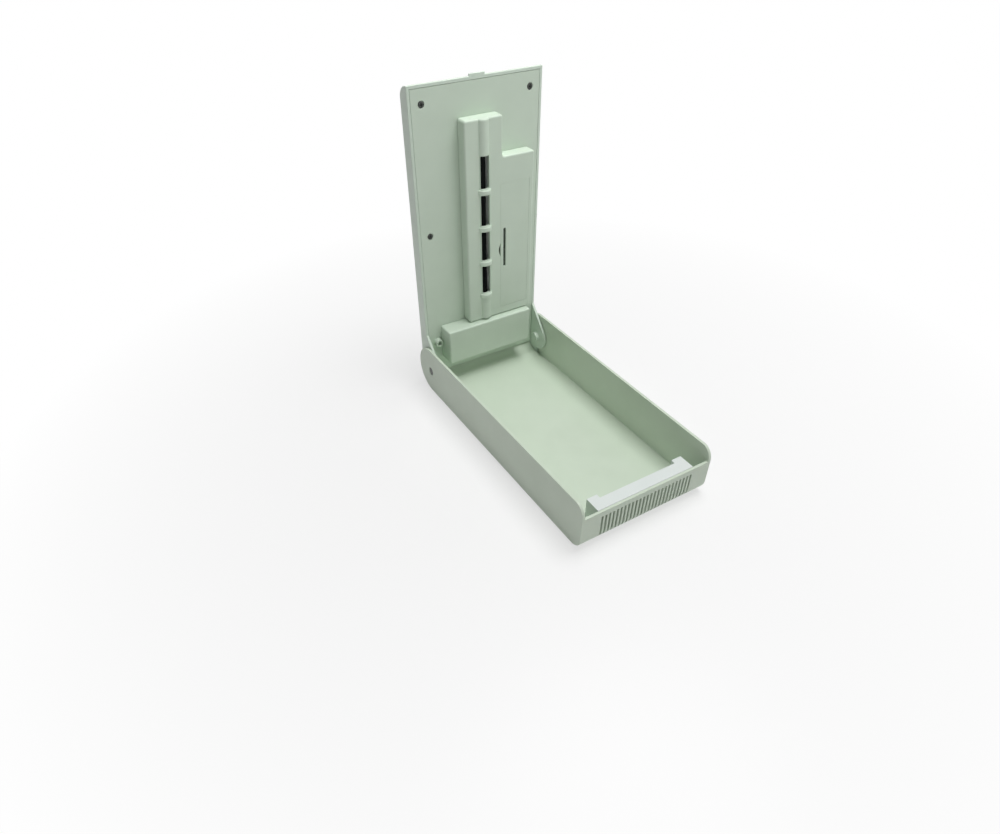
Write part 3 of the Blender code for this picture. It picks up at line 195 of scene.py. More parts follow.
# Battery door
DOOR_TAB_REACH = 1.3 * MM
DOOR_RIGHT = DOOR_HIGH.x - DOOR_TAB_REACH
DOOR_THICKNESS = 1.4 * MM
DOOR_SEAM = 0.08 * MM
DOOR_EDGE = 0.12 * MM
DOOR_MIDDLE = (DOOR_LOW.y + DOOR_HIGH.y) / 2
DOOR_SLOT_X = DOOR_LOW.x + 3.3 * MM
DOOR_SLOT_Y = DOOR_MIDDLE - 0.6 * MM
DOOR_SLOT_WIDTH = 2.1 * MM
DOOR_SLOT_LENGTH = 29.5 * MM
DOOR_SLOT_CORNER = DOOR_SLOT_WIDTH / 3
DOOR_TAB_THICKNESS = 0.9 * MM
DOOR_TAB_WIDTH = 8 * MM
DOOR_TAB_INSET = 12 * MM
DOOR_TAB_ROOT = 1.4 * MM
DOOR_TAB_SWING = 1.6 * MM
NOTCH_Y = DOOR_MIDDLE + 0.5 * MM
NOTCH_REACH = 1.6 * MM
NOTCH_HEIGHT = 10.5 * MM

# Driver box, button and status light
DRIVER_WALL = 1.6 * MM
DRIVER_EDGE = 1.2 * MM
BUTTON_RADIUS = 10.3 * MM
BUTTON_FLANGE = 1.2 * MM
BUTTON_Y = (BUTTON_LOW.y + BUTTON_HIGH.y) / 2
BUTTON_EDGE = 0.35 * MM
SYMBOL_RADIUS = 3.6 * MM
SYMBOL_LINE = 0.7 * MM
SYMBOL_DEPTH = 0.25 * MM
SYMBOL_GAP_ANGLE = 38
STROKE_START_SHARE = 0.2
STROKE_END_SHARE = 1.3
LIGHT_EDGE = 0.3 * MM

# Steps of round outlines and of bevels, and how far smooth shading reaches
TINY_STEPS = 4
SMALL_STEPS = 5
EDGE_STEPS = 6
DOME_STEPS = 12
FRONT_STEPS = 12
ARC_STEPS = 24
POST_STEPS = 32
SYMBOL_STEPS = 40
ROUND_STEPS = 64
FINE_SEGMENTS = 2
EDGE_SEGMENTS = 3
CORNER_SEGMENTS = 4
SIDE_SEGMENTS = 5
SMOOTH_ANGLE = 40
LARGE_FACE_WEIGHT = 80

# Turns a piece made in the closed lid's frame into its open place
LID_TURN = Matrix.Translation((0, HINGE_Y, HINGE_Z)) @ Matrix.Rotation(math.radians(-90), 4, "X")
AXIS_TURNS = {
    "X": Matrix.Rotation(math.radians(90), 4, "Y"),
    "-X": Matrix.Rotation(math.radians(-90), 4, "Y"),
    "Y": Matrix.Rotation(math.radians(-90), 4, "X"),
    "-Y": Matrix.Rotation(math.radians(90), 4, "X"),
    "Z": Matrix.Identity(4),
    "-Z": Matrix.Rotation(math.radians(180), 4, "X"),
}


# Modelling tools
def mesh_object(name, shape):
    bmesh.ops.recalc_face_normals(shape, faces=shape.faces)
    mesh = bpy.data.meshes.new(name)
    shape.to_mesh(mesh)
    shape.free()
    thing = bpy.data.objects.new(name, mesh)
    bpy.context.scene.collection.objects.link(thing)
    return thing


def arc(centre, radius_a, radius_b, start, end, steps=ARC_STEPS):
    points = []
    for step in range(steps + 1):
        angle = math.radians(start + (end - start) * step / steps)
        points.append((centre[0] + radius_a * math.cos(angle), centre[1] + radius_b * math.sin(angle)))
    return points


def prism(outline, start, end, along):
    """Extrude an outline, given in the two other axes in X, Y, Z order."""
    shape = bmesh.new()
    places = {
        "X": lambda a, b: (start, a, b),
        "Y": lambda a, b: (a, start, b),
        "Z": lambda a, b: (a, b, start),
    }
    corners = [shape.verts.new(places[along](a, b)) for a, b in outline]
    face = shape.faces.new(corners)
    grown = bmesh.ops.extrude_face_region(shape, geom=[face])["geom"]
    path = Vector([end - start if axis == along else 0 for axis in "XYZ"])
    bmesh.ops.translate(shape, vec=path, verts=[v for v in grown if isinstance(v, bmesh.types.BMVert)])
    return shape


def block(low, high):
    shape = bmesh.new()
    bmesh.ops.create_cube(shape, size=1.0)
    bmesh.ops.scale(shape, vec=Vector(high) - Vector(low), verts=shape.verts)
    bmesh.ops.translate(shape, vec=(Vector(high) + Vector(low)) / 2, verts=shape.verts)
    return shape


def bevel_where(shape, radius, segments, wanted):
    """Round the edges whose two ends pass a test."""
    chosen = [edge for edge in shape.edges if wanted(edge.verts[0].co, edge.verts[1].co)]
    bmesh.ops.bevel(
        shape, geom=chosen, offset=radius, segments=segments, affect="EDGES", profile=0.5, material=-1
    )
    return shape


def same(a, b):
    return abs(a - b) < SAME_PLACE


def upright(a, b):
    """An edge along Z."""
    return same(a.x, b.x) and same(a.y, b.y)


def at_height(height):
    return lambda a, b: same(a.z, height) and same(b.z, height)


def rounded_block(low, high, radius):
    return bevel_where(block(low, high), radius, EDGE_SEGMENTS, lambda a, b: True)


def rod(centre, radius, length, axis, steps=ROUND_STEPS):
    shape = bmesh.new()
    bmesh.ops.create_cone(
        shape, cap_ends=True, segments=steps, radius1=radius, radius2=radius, depth=length,
        matrix=Matrix.Translation(centre) @ AXIS_TURNS[axis] @ Matrix.Translation((0, 0, length / 2)),
    )
    return shape


def turned(profile, centre, axis, steps=ROUND_STEPS):
    """Spin (radius, height) pairs that start and end on the axis."""
    shape = bmesh.new()
    corners = [shape.verts.new((r, 0, h)) for r, h in profile]
    edges = [shape.edges.new(pair) for pair in zip(corners, corners[1:])]
    bmesh.ops.spin(
        shape, geom=corners + edges, cent=(0, 0, 0), axis=(0, 0, 1),
        angle=math.radians(360), steps=steps, use_merge=True,
    )
    bmesh.ops.remove_doubles(shape, verts=shape.verts, dist=AXIS_MERGE)
    bmesh.ops.transform(shape, matrix=Matrix.Translation(centre) @ AXIS_TURNS[axis], verts=shape.verts)
    return shape


def flared_bore(centre, radius, depth, flare, axis):
    """A bore that starts at a face and runs along axis, with a rounded mouth."""
    mouth = arc((radius + flare, flare), flare, flare, 180, 270, EDGE_STEPS)
    profile = [(0, depth), (radius, depth)] + mouth
    profile += [(radius + flare, -OVERRUN), (0, -OVERRUN)]
    return turned(profile, centre, axis)


def boolean(thing, shape, operation):
    """Cut or join a shape and keep the result in the mesh."""
    tool = mesh_object("tool", shape)
    modifier = thing.modifiers.new("step", "BOOLEAN")
    modifier.operation = operation
    modifier.solver = "EXACT"
    modifier.object = tool
    settle(thing)
    bpy.data.objects.remove(tool)


def cut(thing, *shapes):
    for shape in shapes:
        boolean(thing, shape, "DIFFERENCE")


def join(thing, *shapes):
    for shape in shapes:
        boolean(thing, shape, "UNION")


def settle(thing):
    """Put the modifiers' result into the mesh."""
    bpy.context.view_layer.update()
    mesh = bpy.data.meshes.new_from_object(thing.evaluated_get(bpy.context.evaluated_depsgraph_get()))
    thing.modifiers.clear()
    thing.data = mesh


def weld(thing):
    shape = bmesh.new()
    shape.from_mesh(thing.data)
    bmesh.ops.remove_doubles(shape, verts=shape.verts, dist=WELD_DISTANCE)
    bmesh.ops.dissolve_degenerate(shape, edges=shape.edges, dist=WELD_DISTANCE)
    shape.to_mesh(thing.data)
    shape.free()


def finish_shape(thing, turn=None):
    """Weld, place, shade smooth and let the large faces set the shading."""
    weld(thing)
    if turn is not None:
        thing.data.transform(turn)
    thing.data.shade_smooth()
    thing.data.set_sharp_from_angle(angle=math.radians(SMOOTH_ANGLE))
    modifier = thing.modifiers.new("shading", "WEIGHTED_NORMAL")
    modifier.keep_sharp = True
    modifier.weight = LARGE_FACE_WEIGHT
    settle(thing)


def wear(thing, finish, body, slot, *nodes):
    """Give a piece its finish, the body it rides on and the nodes it stands for; its slot is not used."""
    thing.data.materials.clear()
    thing.data.materials.append(FINISHES[finish])
    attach(thing, body)
    if nodes:
        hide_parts(*nodes)


# Shared effect: a node group that puts out only a colour, a roughness and a height
BROAD_MOTTLE = 14.0
FINE_MOTTLE = 60.0
MOTTLE_LOW = 0.12
MOTTLE_HIGH = 0.42
GRAIN_LOW = 0.3
GRAIN_HIGH = 0.7
GRAIN_DETAIL = 3.0
GLOSS_CHANGE = 0.05
GRAIN_HEIGHT = 0.05 * MM


def group_tree(name, inputs, outputs):
    tree = bpy.data.node_groups.new(name, "ShaderNodeTree")
    for label, kind, value in inputs:
        socket = tree.interface.new_socket(label, in_out="INPUT", socket_type=kind)
        socket.default_value = value
    for label, kind in outputs:
        tree.interface.new_socket(label, in_out="OUTPUT", socket_type=kind)
    return tree


def noise(tree, place, scale, detail):
    made = tree.nodes.new("ShaderNodeTexNoise")
    made.inputs["Scale"].default_value = scale
    made.inputs["Detail"].default_value = detail
    tree.links.new(place, made.inputs["Vector"])
    return made.outputs["Fac"]


def spread(tree, value, low, high, out_low, out_high):
    """Map a value's middle range to a chosen range."""
    made = tree.nodes.new("ShaderNodeMapRange")
    tree.links.new(value, made.inputs["Value"])
    for label, number in (("From Min", low), ("From Max", high), ("To Min", out_low), ("To Max", out_high)):
        made.inputs[label].default_value = number
    return made.outputs["Result"]


def combine(tree, operation, first, second):
    made = tree.nodes.new("ShaderNodeMath")
    made.operation = operation
    tree.links.new(first, made.inputs[0])
    tree.links.new(second, made.inputs[1])
    return made.outputs["Value"]


def mould_texture_group():
    """Spark-eroded mould texture, slow shade changes and small changes of gloss."""
    tree = group_tree(
        "mould_texture",
        [("Grain", "NodeSocketFloat", 1500.0), ("Base", "NodeSocketColor", (1, 1, 1, 1)),
         ("Shade", "NodeSocketColor", (1, 1, 1, 1)), ("Roughness", "NodeSocketFloat", 0.4)],
        [("Color", "NodeSocketColor"), ("Roughness", "NodeSocketFloat"), ("Height", "NodeSocketFloat")],
    )
    given = tree.nodes.new("NodeGroupInput")
    out = tree.nodes.new("NodeGroupOutput")
    place = tree.nodes.new("ShaderNodeTexCoord").outputs["Object"]
    grain = tree.nodes.new("ShaderNodeTexNoise")
    tree.links.new(place, grain.inputs["Vector"])
    tree.links.new(given.outputs["Grain"], grain.inputs["Scale"])
    grain.inputs["Detail"].default_value = GRAIN_DETAIL
    broad = noise(tree, place, scale=BROAD_MOTTLE, detail=2.0)
    fine = noise(tree, place, scale=FINE_MOTTLE, detail=3.0)
    mottle = combine(tree, "MULTIPLY", broad, fine)
    tint = tree.nodes.new("ShaderNodeMix")
    tint.data_type = "RGBA"
    tree.links.new(spread(tree, mottle, MOTTLE_LOW, MOTTLE_HIGH, 0.0, 1.0), tint.inputs["Factor"])
    tree.links.new(given.outputs["Base"], tint.inputs["A"])
    tree.links.new(given.outputs["Shade"], tint.inputs["B"])
    tree.links.new(tint.outputs["Result"], out.inputs["Color"])
    wobble = spread(tree, grain.outputs["Fac"], GRAIN_LOW, GRAIN_HIGH, -GLOSS_CHANGE, GLOSS_CHANGE)
    rough = combine(tree, "ADD", given.outputs["Roughness"], wobble)
    tree.links.new(rough, out.inputs["Roughness"])
    tree.links.new(grain.outputs["Fac"], out.inputs["Height"])
    return tree


MOULD_TEXTURE = mould_texture_group()


def moulded(name, base, shade, roughness, grain, bump, metallic=0.0, coat=0.0, specular=0.5):
    """A finish of two near shades, with its grain in roughness and height."""
    finish = bpy.data.materials.new(name)
    finish.use_nodes = True
    tree = finish.node_tree
    shader = tree.nodes["Principled BSDF"]
    shader.inputs["Metallic"].default_value = metallic
    shader.inputs["Coat Weight"].default_value = coat
    shader.inputs["Specular IOR Level"].default_value = specular
    texture = tree.nodes.new("ShaderNodeGroup")
    texture.node_tree = MOULD_TEXTURE
    texture.inputs["Grain"].default_value = grain
    texture.inputs["Base"].default_value = (*base, 1)
    texture.inputs["Shade"].default_value = (*shade, 1)
    texture.inputs["Roughness"].default_value = roughness
    tree.links.new(texture.outputs["Color"], shader.inputs["Base Color"])
    tree.links.new(texture.outputs["Roughness"], shader.inputs["Roughness"])
    height = tree.nodes.new("ShaderNodeBump")
    height.inputs["Strength"].default_value = bump
    height.inputs["Distance"].default_value = GRAIN_HEIGHT
    tree.links.new(texture.outputs["Height"], height.inputs["Height"])
    tree.links.new(height.outputs["Normal"], shader.inputs["Normal"])
    return finish


# Each finish has its name, two shades, roughness, grain scale and bump strength
FINISHES = {
    "shell": moulded("mint_shell", (0.62, 0.71, 0.59), (0.59, 0.68, 0.56), 0.42, 1400.0, 0.10),
    "inner": moulded("mint_inner", (0.63, 0.735, 0.62), (0.60, 0.705, 0.59), 0.45, 1600.0, 0.12),
    "cover": moulded("mint_cover", (0.66, 0.76, 0.66), (0.63, 0.735, 0.63), 0.36, 1200.0, 0.08),
    "baffle": moulded("mint_baffle", (0.75, 0.80, 0.78), (0.72, 0.77, 0.75), 0.34, 1300.0, 0.06),
    "rubber": moulded("foot_rubber", (0.035, 0.036, 0.037), (0.05, 0.05, 0.05), 0.78, 2500.0, 0.3),
    "steel": moulded(
        "screw_steel", (0.11, 0.12, 0.11), (0.05, 0.055, 0.05), 0.38, 1400.0, 0.4, metallic=0.6
    ),
    "nickel": moulded(
        "nickel_strip", (0.62, 0.60, 0.56), (0.52, 0.51, 0.48), 0.28, 3000.0, 0.1, metallic=1.0
    ),
    "mirror": moulded(
        "lamp_mirror", (0.86, 0.90, 0.86), (0.78, 0.83, 0.79), 0.35, 900.0, 0.05, metallic=0.3
    ),
    "glass": moulded(
        "lamp_glass", (0.003, 0.004, 0.004), (0.006, 0.007, 0.007), 0.12, 300.0, 0.02, specular=0.04
    ),
    "black": moulded(
        "black_moulding", (0.020, 0.023, 0.020), (0.03, 0.033, 0.03), 0.5, 1800.0, 0.15, specular=0.2
    ),
    "board": moulded("board_mask", (0.02, 0.12, 0.05), (0.03, 0.17, 0.075), 0.35, 260.0, 0.25, coat=0.3),
    "ferrite": moulded("core_ferrite", (0.05, 0.045, 0.042), (0.08, 0.074, 0.07), 0.6, 2200.0, 0.3),
    "cell": moulded("cell_sleeve", (0.05, 0.07, 0.06), (0.07, 0.09, 0.08), 0.35, 900.0, 0.04, specular=0.25),
    "pipe": moulded("light_pipe", (0.10, 0.13, 0.12), (0.06, 0.08, 0.075), 0.16, 700.0, 0.04, coat=0.4),
}


# Tray
def tray_outline():
    corner = (FRONT + FRONT_BOTTOM_RADIUS, BOTTOM + FRONT_BOTTOM_RADIUS)
    points = arc(corner, FRONT_BOTTOM_RADIUS, FRONT_BOTTOM_RADIUS, -90, -180, FRONT_STEPS)
    roll = (FRONT + FRONT_ROLL, FRONT_WALL_TOP)
    points += arc(roll, FRONT_ROLL, TOP - FRONT_WALL_TOP, 180, 90)
    points += arc((HINGE_Y, HINGE_Z), REAR_RADIUS, REAR_RADIUS, 90, -90, 2 * ARC_STEPS)
    return points


def polar(radius, angle):
    turn = math.radians(angle)
    return (HINGE_Y + radius * math.cos(turn), HINGE_Z + radius * math.sin(turn))


def tray_pocket():
    """The tray's hollow, over the front wall and out above the rear barrel."""
    inner = FRONT_BOTTOM_RADIUS - WALL
    corner = (FRONT + FRONT_BOTTOM_RADIUS, BOTTOM + FRONT_BOTTOM_RADIUS)
    over = TOP + OVERRUN
    points = [(FRONT - OVERRUN, FRONT_WALL_TOP), (FRONT + WALL, FRONT_WALL_TOP)]
    points += arc(corner, inner, inner, 180, 270)
    points.append((HINGE_Y - BARREL_RAMP, BOTTOM + WALL))
    points += arc((HINGE_Y, HINGE_Z), BARREL_INNER, BARREL_INNER, -90, BARREL_TOP)
    points.append(polar(REAR_RADIUS + OVERRUN, BARREL_TOP))
    return points + [(REAR + OVERRUN, over), (FRONT - OVERRUN, over)]


def skirt_space():
    """Where the lid's round back swings, outside the barrel."""
    low = BOTTOM - OVERRUN
    stop = HINGE_Y - GAP
    top_angle = BARREL_TOP + BARREL_CLEAR
    points = [(stop, low), (stop, HINGE_Z - BARREL_OUTER)]
    points += arc((HINGE_Y, HINGE_Z), BARREL_OUTER, BARREL_OUTER, -90, top_angle)
    points.append(polar(REAR_RADIUS + OVERRUN, top_angle))
    return points + [(REAR + 2 * OVERRUN, HINGE_Z), (REAR + 2 * OVERRUN, low)]


def round_side_edges(shape):
    """Round the side outlines, widely along the bottom and finely along the top."""
    weights = shape.edges.layers.float.new("bevel_weight_edge")
    for edge in shape.edges:
        a, b = edge.verts
        height = ((a.co.z + b.co.z) / 2 - BOTTOM) / SIDE_EDGE_FADE
        share = SIDE_EDGE_RADIUS / SIDE_BOTTOM_RADIUS
        if same(a.co.x, b.co.x):
            edge[weights] = 1 + (share - 1) * min(1.0, max(0.0, height))


def vent_slot(x):
    """A slot through the front wall with its long edges eased."""
    half = SLOT_WIDTH / 2
    wide = half + SLOT_CHAMFER
    outline = [(x - half, FRONT + SLOT_DEPTH), (x - half, FRONT + SLOT_CHAMFER), (x - wide, FRONT)]
    outline += [(x - wide, FRONT - OVERRUN), (x + wide, FRONT - OVERRUN), (x + wide, FRONT)]
    outline += [(x + half, FRONT + SLOT_CHAMFER), (x + half, FRONT + SLOT_DEPTH)]
    return prism(outline, SLOT_LOW, SLOT_HIGH, "Z")


FEET = ("foot_front_left", "foot_front_right", "foot_rear_left", "foot_rear_right")


def tray_shell():
    inside = HALF_WIDTH - WALL
    shape = prism(tray_outline(), -HALF_WIDTH, HALF_WIDTH, "X")
    round_side_edges(shape)
    tray = mesh_object("tray_shell_skin", shape)
    modifier = tray.modifiers.new("edge", "BEVEL")
    modifier.width = SIDE_BOTTOM_RADIUS
    modifier.segments = SIDE_SEGMENTS
    modifier.limit_method = "WEIGHT"
    settle(tray)
    weld(tray)
    cut(tray, prism(tray_pocket(), -inside, inside, "X"), prism(skirt_space(), -inside, inside, "X"))
    near = LID_HALF - WALL - GAP
    for side, way in ((-1, "X"), (1, "-X")):
        low_x, high_x = sorted((side * near, side * inside))
        low = (low_x, HINGE_Y - BARREL_RAMP, BOTTOM + WALL)
        cut(tray, block(low, (high_x, REAR + OVERRUN, TOP + OVERRUN)))
        low = (low_x, HINGE_Y - GAP, BOTTOM - OVERRUN)
        cut(tray, block(low, (high_x, REAR + 2 * OVERRUN, HINGE_Z)))
        start = (side * (HALF_WIDTH + OVERRUN), HINGE_Y, HINGE_Z)
        cut(tray, rod(start, PIN_RADIUS + GAP, WALL + 2 * OVERRUN, way))
        start = (side * HALF_WIDTH, HINGE_Y, HINGE_Z)
        cut(tray, flared_bore(start, PIN_HEAD_RADIUS + GAP, PIN_RECESS, HOLE_FLARE, way))
    for index in range(SLOT_COUNT):
        cut(tray, vent_slot((index - (SLOT_COUNT - 1) / 2) * SLOT_PITCH))
    for name in FEET:
        low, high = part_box(name)
        middle = (low + high) / 2
        cut(tray, flared_bore((middle.x, middle.y, BOTTOM), FOOT_RADIUS + GAP, FOOT_POCKET, HOLE_FLARE, "Z"))
    weld(tray)
    modifier = tray.modifiers.new("rim", "BEVEL")
    modifier.width = RIM_EDGE
    modifier.segments = FINE_SEGMENTS
    modifier.limit_method = "ANGLE"
    modifier.angle_limit = math.radians(RIM_ANGLE)
    modifier.use_clamp_overlap = False
    settle(tray)
    finish_shape(tray)
    wear(tray, "shell", "tray", "mint_satin_plastic", "tray_shell")


def vent_baffle():
    low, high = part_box("vent_baffle")
    front = low.y - GAP + BAFFLE_SEAM
    back = high.y - BAFFLE_TAB_DEPTH
    tab = high.x - BAFFLE_TAB_WIDTH
    outline = [(low.x, front), (high.x, front), (high.x, high.y), (tab, high.y), (tab, back)]
    outline += [(-tab, back), (-tab, high.y), (low.x, high.y)]
    shape = prism(outline, low.z, high.z, "Z")
    bevel_where(shape, BAFFLE_EDGE, EDGE_SEGMENTS, lambda a, b: upright(a, b) and same(a.y, high.y))
    bevel_where(shape, BAFFLE_TOP_EDGE, FINE_SEGMENTS, at_height(high.z))
    baffle = mesh_object("vent_baffle_cover", shape)
    cut(baffle, block(
        (low.x + BAFFLE_WALL, front - OVERRUN, low.z - OVERRUN),
        (high.x - BAFFLE_WALL, back - BAFFLE_WALL, high.z - BAFFLE_WALL),
    ))
    cut(baffle, block(
        (low.x - OVERRUN, front - OVERRUN, low.z - OVERRUN),
        (high.x + OVERRUN, FRONT + FRONT_BOTTOM_RADIUS, BOTTOM + FRONT_BOTTOM_RADIUS),
    ))
    finish_shape(baffle)
    wear(baffle, "baffle", "tray", "mint_gloss_plastic", "vent_baffle")


def feet():
    for name in FEET:
        low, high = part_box(name)
        middle = (low + high) / 2
        height = high.z - low.z
        profile = [(0, 0)]
        profile += arc((FOOT_RADIUS - FOOT_EDGE, FOOT_EDGE), FOOT_EDGE, FOOT_EDGE, -90, 0, SMALL_STEPS)
        profile += [(FOOT_RADIUS, height), (0, height)]
        foot = mesh_object(name + "_pad", turned(profile, (middle.x, middle.y, low.z), "Z"))
        finish_shape(foot)
        wear(foot, "rubber", "tray", "black_rubber", name)


def hinge_pins():
    for name, side, way in (("hinge_pin_left", -1, "X"), ("hinge_pin_right", 1, "-X")):
        low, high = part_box(name)
        length = high.x - low.x - PIN_BOSS_CAP
        profile = [(0, 0), (PIN_HEAD_RADIUS - PIN_DOME, 0)]
        profile += arc((PIN_HEAD_RADIUS - PIN_DOME, PIN_DOME), PIN_DOME, PIN_DOME, -90, 0, SMALL_STEPS)[1:]
        profile += [(PIN_HEAD_RADIUS, PIN_HEAD_HEIGHT), (PIN_RADIUS, PIN_HEAD_HEIGHT)]
        profile += [(PIN_RADIUS, length), (0, length)]
        start = (high.x if side > 0 else low.x, HINGE_Y, HINGE_Z)
        pin = mesh_object(name + "_turned", turned(profile, start, way))
        finish_shape(pin)
        wear(pin, "steel", "tray", "plated_steel", name)


# Lid
def lid_outline():
    """Side profile of the closed lid from the hinge axis, with its cheek."""
    roll = (-LID_REACH + FRONT_ROLL, RIM_Z)
    points = arc(roll, FRONT_ROLL, SKIN_TOP - RIM_Z, 180, 90)
    points += arc((0, 0), SKIN_TOP, SKIN_TOP, 90, 0)
    points += arc((0, 0), CHEEK_RADIUS, CHEEK_RADIUS, 0, CHEEK_CUT)
    touch = math.radians(CHEEK_CUT)
    rise = RIM_Z - CHEEK_RADIUS * math.sin(touch)
    lean = math.radians(CHEEK_CUT + 90)
    points.append((CHEEK_RADIUS * math.cos(touch) + rise * math.tan(lean), RIM_Z))
    return points


def lid_hollow():
    roll = (-LID_REACH + FRONT_ROLL, RIM_Z)
    low = -CHEEK_RADIUS - OVERRUN
    points = [(-LID_REACH + SKIN, low)]
    points += arc(roll, FRONT_ROLL - SKIN, SKIN_UNDER - RIM_Z, 180, 90)
    points += arc((0, 0), SKIN_UNDER, SKIN_UNDER, 90, 0)
    return points + [(SKIN_UNDER, low)]


def screw_places():
    places = {}
    for row, y in SCREW_ROWS.items():
        for name, side in (("left", -1), ("right", 1)):
            places[row + "_" + name] = (side * SCREW_X, y)
    return places


def outer_edge(a, b):
    """An edge of the lid's side outlines, or its front one along the rim."""
    return same(a.x, b.x) or (at_height(RIM_Z)(a, b) and same(a.y, -LID_REACH))


def lid_cover():
    inside = LID_HALF - SKIN
    shape = prism(lid_outline(), -LID_HALF, LID_HALF, "X")
    bevel_where(shape, COVER_EDGE, EDGE_SEGMENTS, outer_edge)
    cover = mesh_object("lid_cover_skin", shape)
    cut(cover, prism(lid_hollow(), -inside, inside, "X"))
    for side, way in ((-1, "X"), (1, "-X")):
        length = PIN_BOSS_LENGTH + EMBED
        profile = [(0, 0), (PIN_BOSS_RADIUS, 0)]
        corner = (PIN_BOSS_RADIUS - PIN_BOSS_EDGE, length - PIN_BOSS_EDGE)
        profile += arc(corner, PIN_BOSS_EDGE, PIN_BOSS_EDGE, 0, 90, TINY_STEPS)
        profile.append((0, length))
        join(cover, turned(profile, (side * (inside + EMBED), 0, 0), way))
        start = (side * (LID_HALF + OVERRUN), 0, 0)
        cut(cover, rod(start, PIN_RADIUS + GAP, SKIN + PIN_BOSS_LENGTH - PIN_BOSS_CAP + OVERRUN, way))
    low = (-LIP_WIDTH / 2, -LID_REACH - LIP_PROUD, RIM_Z)
    high = (LIP_WIDTH / 2, -LID_REACH + SKIN / 2, RIM_Z + LIP_THICKNESS)
    join(cover, rounded_block(low, high, LIP_EDGE))
    for x, y in screw_places().values():
        bottom = LINER_TOP + GAP
        join(cover, rod((x, y, bottom), SCREW_POST_RADIUS, SKIN_UNDER + EMBED - bottom, "Z", POST_STEPS))
    button = (0, BUTTON_Y, SKIN_TOP)
    cut(cover, flared_bore(button, BUTTON_RADIUS + GAP / 2, SKIN + OVERRUN, HOLE_FLARE, "-Z"))
    low = (LIGHT_LOW.x - GAP / 2, LIGHT_LOW.y - GAP / 2, SKIN_UNDER - OVERRUN)
    high = (LIGHT_HIGH.x + GAP / 2, LIGHT_HIGH.y + GAP / 2, SKIN_TOP + OVERRUN)
    cut(cover, bevel_where(block(low, high), LIGHT_EDGE, CORNER_SEGMENTS, upright))
    finish_shape(cover, LID_TURN)
    wear(cover, "cover", "lid", "mint_gloss_plastic", "lid_cover")


def housing_outline(inset):
    """The housing's L shape, drawn in by inset."""
    left, step_x, right = HOUSING_LOW.x + inset, HOUSING_STEP_X - inset, HOUSING_HIGH.x - inset
    near, step_y, far = HOUSING_HIGH.y - inset, HOUSING_STEP_Y + inset, HOUSING_LOW.y + inset
    return [(left, near), (right, near), (right, step_y), (step_x, step_y), (step_x, far), (left, far)]


def lid_liner():
    half = LID_HALF - SKIN - LINER_SIDE_SEAM
    front = -LID_REACH + SKIN + LINER_TOP_SEAM
    shape = block((-half, front, RIM_Z), (half, LINER_HIGH.y, LINER_TOP))
    bevel_where(shape, LINER_EDGE, EDGE_SEGMENTS, at_height(RIM_Z))
    liner = mesh_object("lid_liner_plate", shape)
    cut(liner, prism(housing_outline(HOUSING_WALL), RIM_Z - OVERRUN, LINER_TOP + OVERRUN, "Z"))
    low = (DRIVER_LOW.x + DRIVER_WALL, HOUSING_HIGH.y + LINER_LEDGE + DRIVER_WALL, RIM_Z - OVERRUN)
    high = (DRIVER_HIGH.x - DRIVER_WALL, DRIVER_HIGH.y - DRIVER_WALL, LINER_TOP + OVERRUN)
    cut(liner, block(low, high))
    for x, y in screw_places().values():
        cut(liner, rod((x, y, RIM_Z - OVERRUN), SCREW_SHANK_RADIUS + GAP, LINER_THICKNESS + 2 * OVERRUN, "Z"))
        depth = SCREW_HEAD_HEIGHT + GAP
        cut(liner, flared_bore((x, y, RIM_Z), SCREW_HEAD_RADIUS + GAP, depth, SCREW_HOLE_FLARE, "Z"))
    height = RIM_Z - LINER_LOW.z
    profile = [(0, -EMBED), (POST_RADIUS, -EMBED)]
    profile += arc((POST_RADIUS - POST_EDGE, height - POST_EDGE), POST_EDGE, POST_EDGE, 0, 90, EDGE_STEPS)
    profile.append((0, height))
    join(liner, turned(profile, (POST_X, POST_Y, RIM_Z), "-Z"))
    cut(liner, flared_bore((POST_X, POST_Y, LINER_LOW.z), POST_BORE, height, HOLE_FLARE, "Z"))
    finish_shape(liner, LID_TURN)
    wear(liner, "inner", "lid", "mint_satin_plastic", "lid_liner")


def window_spans():
    pitch = WINDOW_LENGTH + WINDOW_BRIDGE
    starts = [WINDOW_START - i * pitch for i in range(WINDOW_COUNT)]
    return [(start - WINDOW_LENGTH, start) for start in starts]


def sleeve_shape():
    """The round sleeve with a proud band at each bridge, its end by the lid's edge rounded."""
    start = HOUSING_LOW.y + SLEEVE_END_DROP
    outer = SLEEVE_RADIUS + RING_EXTRA
    profile = [(0, 0)]
    corner = (SLEEVE_RADIUS - HOUSING_EDGE, HOUSING_EDGE)
    profile += arc(corner, HOUSING_EDGE, HOUSING_EDGE, -90, 0, EDGE_STEPS)
    for _, far in reversed(window_spans()):
        low = far + (WINDOW_BRIDGE - RING_WIDTH) / 2 - start
        high = low + RING_WIDTH
        profile.append((SLEEVE_RADIUS, low))
        profile += arc((outer - RING_EDGE, low + RING_EDGE), RING_EDGE, RING_EDGE, -90, 0, TINY_STEPS)
        profile += arc((outer - RING_EDGE, high - RING_EDGE), RING_EDGE, RING_EDGE, 0, 90, TINY_STEPS)
        profile.append((SLEEVE_RADIUS, high))
    length = HOUSING_HIGH.y - HOUSING_EDGE - start
    profile += [(SLEEVE_RADIUS, length), (0, length)]
    return turned(profile, (LAMP_X, start, SLEEVE_Z), "Y")


def door_tab_places():
    return (DOOR_HIGH.y - DOOR_TAB_INSET, DOOR_LOW.y + DOOR_TAB_INSET)


